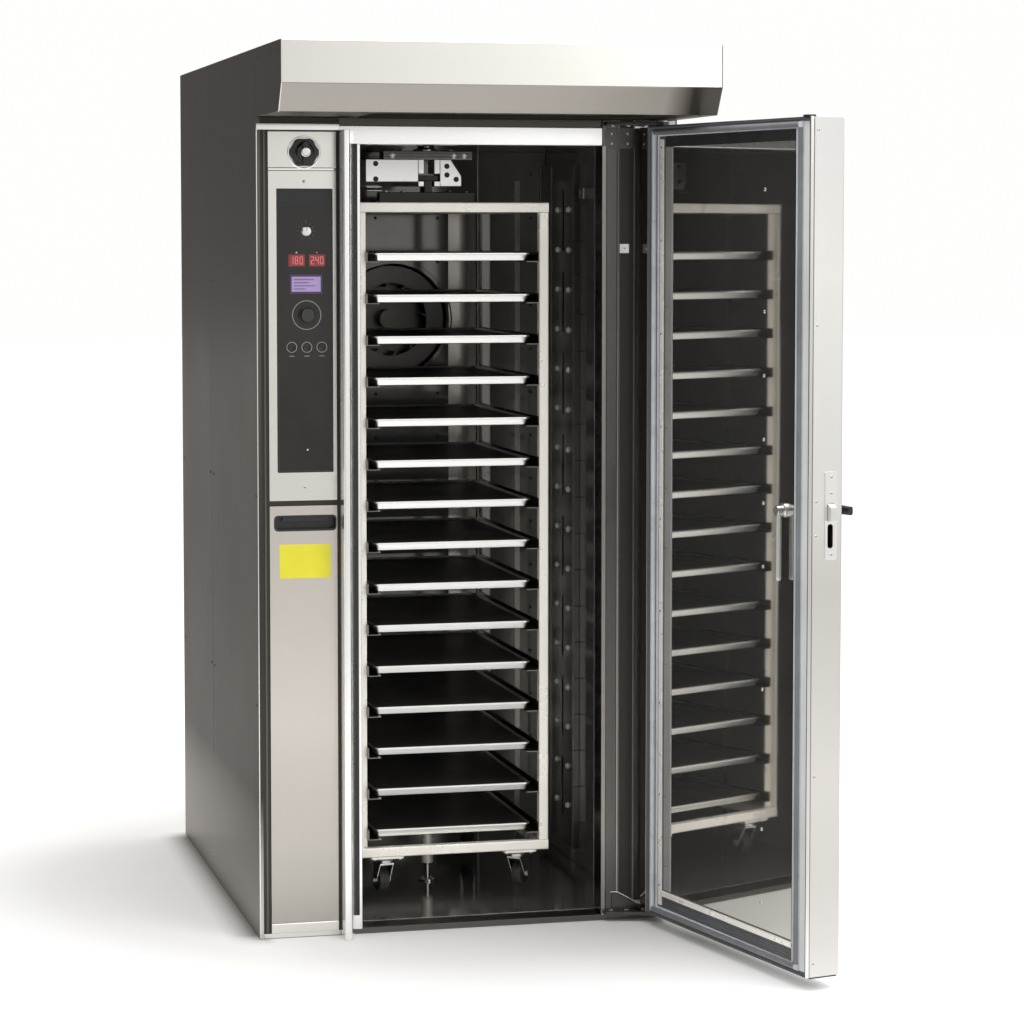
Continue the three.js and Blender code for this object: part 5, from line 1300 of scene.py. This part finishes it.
# ------------------------------------------------------------------ floor, light, camera
def studio():
    n = Nodes("studio_floor")
    n.link(n.ramp(n.noise(0.9, 3.0, 0.5), [(0.3, (0.74, 0.735, 0.73)), (0.7, (0.77, 0.765, 0.76))]), n.b.inputs["Base Color"])
    n.link(n.remap(n.noise(30.0, 3.0, 0.5), 0.3, 0.7, 0.60, 0.72), n.b.inputs["Roughness"])
    n.b.inputs["Specular IOR Level"].default_value = 0.2
    flat = n.add("ShaderNodeMapping")
    flat.inputs["Scale"].default_value = (1, 1, 0)
    n.link(n.co, flat.inputs["Vector"])
    far = n.add("ShaderNodeVectorMath", operation="LENGTH")
    n.link(flat.outputs["Vector"], far.inputs[0])
    n.link(n.remap(far.outputs["Value"], 0.95, 1.7, 0.0, 0.31), n.b.inputs["Emission Strength"])
    sep = n.add("ShaderNodeSeparateXYZ")
    n.link(n.co, sep.inputs[0])
    front = n.remap(sep.outputs["Y"], -1.5, -2.2, 0.0, 1.0)
    glowing = n.add("ShaderNodeMix", data_type="RGBA")
    glowing.inputs["A"].default_value = (1, 1, 1, 1)
    glowing.inputs["B"].default_value = (0.30, 0.295, 0.29, 1)
    n.link(front, glowing.inputs["Factor"])
    n.link(glowing.outputs["Result"], n.b.inputs["Emission Color"])
    tone = n.add("ShaderNodeMix", data_type="RGBA")
    tone.inputs["B"].default_value = (0.56, 0.55, 0.54, 1)
    n.link(front, tone.inputs["Factor"])
    n.link(n.b.inputs["Base Color"].links[0].from_socket, tone.inputs["A"])
    # painted contact shadow: the floor's base colour darkens along the oven's left side, fading outwards and bounded to
    # the side's length
    painted_contact_shadow = n.add("ShaderNodeMix", data_type="RGBA")
    painted_contact_shadow.inputs["B"].default_value = (0.20, 0.185, 0.175, 1)
    near = n.math("MULTIPLY", n.remap(sep.outputs["X"], -0.60, -0.522, 0.0, 1.0), n.remap(sep.outputs["Y"], -0.72, -0.60, 0.0, 1.0))
    ends = n.math("MULTIPLY", n.remap(sep.outputs["X"], -0.50, -0.48, 1.0, 0.0), n.remap(sep.outputs["Y"], 0.60, 0.70, 1.0, 0.0))
    n.link(n.math("MULTIPLY", n.math("POWER", near, 1.6), ends), painted_contact_shadow.inputs["Factor"])
    n.link(tone.outputs["Result"], painted_contact_shadow.inputs["A"])
    n.link(painted_contact_shadow.outputs["Result"], n.b.inputs["Base Color"])
    bm = bmesh.new()
    v = [bm.verts.new(p) for p in ((-30, -30, -0.0004), (30, -30, -0.0004), (30, 40, -0.0004), (-30, 40, -0.0004))]
    bm.faces.new(v)
    me = bpy.data.meshes.new("studio_floor")
    bm.to_mesh(me)
    bm.free()
    me.materials.append(n.m)
    o = bpy.data.objects.new("studio_floor", me)
    scene.collection.objects.link(o)

    w = bpy.data.worlds.new("studio")
    w.use_nodes = True
    scene.world = w
    t = w.node_tree
    bg = t.nodes["Background"]
    tc = t.nodes.new("ShaderNodeTexCoord")
    sep = t.nodes.new("ShaderNodeSeparateXYZ")
    t.links.new(tc.outputs["Generated"], sep.inputs[0])
    ax = t.nodes.new("ShaderNodeMath")
    ax.operation = "ARCTAN2"
    t.links.new(sep.outputs["Y"], ax.inputs[0])
    t.links.new(sep.outputs["X"], ax.inputs[1])
    mr = t.nodes.new("ShaderNodeMapRange")
    mr.inputs["From Min"].default_value = -math.pi
    mr.inputs["From Max"].default_value = math.pi
    t.links.new(ax.outputs[0], mr.inputs["Value"])
    cr = t.nodes.new("ShaderNodeValToRGB")
    # brightness by compass bearing in degrees: 90 is behind the oven, -90 in front of it
    bearings = [(-180, 0.22), (-150, 0.14), (-112, 0.08), (-97, 0.16), (-86, 0.60), (-80, 0.92), (-74, 1.34), (-48, 1.10), (-28, 0.75), (0, 0.80), (36, 1.05),
                (62, 1.25), (88, 1.25), (92, 0.46), (100, 0.32), (130, 0.28), (180, 0.22)]
    e = cr.color_ramp.elements
    while len(e) < len(bearings):
        e.new(0.5)
    for el, (deg, k) in zip(e, bearings):
        el.position = (deg + 180) / 360
        el.color = (k, k * 0.99, k * 0.965, 1)
    t.links.new(mr.outputs["Result"], cr.inputs["Fac"])
    up = t.nodes.new("ShaderNodeMapRange")
    up.interpolation_type = "SMOOTHSTEP"
    up.inputs["From Min"].default_value = 0.28
    up.inputs["From Max"].default_value = 0.70
    t.links.new(sep.outputs["Z"], up.inputs["Value"])
    mix = t.nodes.new("ShaderNodeMix")
    mix.data_type = "RGBA"
    mix.inputs["B"].default_value = (1.15, 1.15, 1.13, 1)
    t.links.new(up.outputs["Result"], mix.inputs["Factor"])
    t.links.new(cr.outputs["Color"], mix.inputs["A"])
    ray = t.nodes.new("ShaderNodeLightPath")
    plain = t.nodes.new("ShaderNodeMix")
    plain.data_type = "RGBA"
    plain.inputs["B"].default_value = (1.0, 0.995, 0.99, 1)
    t.links.new(ray.outputs["Is Camera Ray"], plain.inputs["Factor"])
    t.links.new(mix.outputs["Result"], plain.inputs["A"])
    t.links.new(plain.outputs["Result"], bg.inputs["Color"])
    bg.inputs["Strength"].default_value = 1.0

    def area(name, loc, target, size, size_y, power):
        d = bpy.data.lights.new(name, "AREA")
        d.shape = "RECTANGLE"
        d.size, d.size_y, d.energy = size, size_y, power
        lo = bpy.data.objects.new(name, d)
        lo.location = loc
        q = (Vector(target) - Vector(loc)).to_track_quat("-Z", "Y")
        lo.rotation_euler = q.to_euler()
        scene.collection.objects.link(lo)
        return lo
    area("key_front_right", (3.0, -5.0, 3.6), (0.1, -0.4, 0.9), 2.6, 2.6, 55)
    area("top", (0.3, -1.2, 5.0), (0.1, -0.3, 0.0), 4.2, 4.2, 190)
    fill = area("front_fill", (-0.5, -5.2, 1.5), (0.0, 0.0, 1.1), 2.2, 2.2, 34)
    fill.visible_glossy = False
    area("side_wash", (3.6, 2.6, 3.6), (0.5, 0.2, 0.6), 2.4, 2.4, 50)

    cam = bpy.data.cameras.new("camera")
    cam.lens, cam.sensor_width, cam.shift_y = 106.239, 36.0, -0.08
    cam.clip_start, cam.clip_end = 0.1, 100
    co = bpy.data.objects.new("camera", cam)
    co.location = (-1.6482, -7.6993, 1.6878)
    yaw, pitch = math.radians(13.956), math.radians(3.773)
    d = Vector((math.sin(yaw) * math.cos(pitch), math.cos(yaw) * math.cos(pitch), -math.sin(pitch)))
    co.rotation_euler = d.to_track_quat("-Z", "Y").to_euler()
    scene.collection.objects.link(co)
    scene.camera = co
    scene.view_settings.view_transform = "Standard"
    scene.view_settings.look = "None"


cabinet_skins()
hood()
front_frame()
column()
chamber()
yoke()
rack()
casters()
trays()
door()
studio()
bpy.context.view_layer.update()
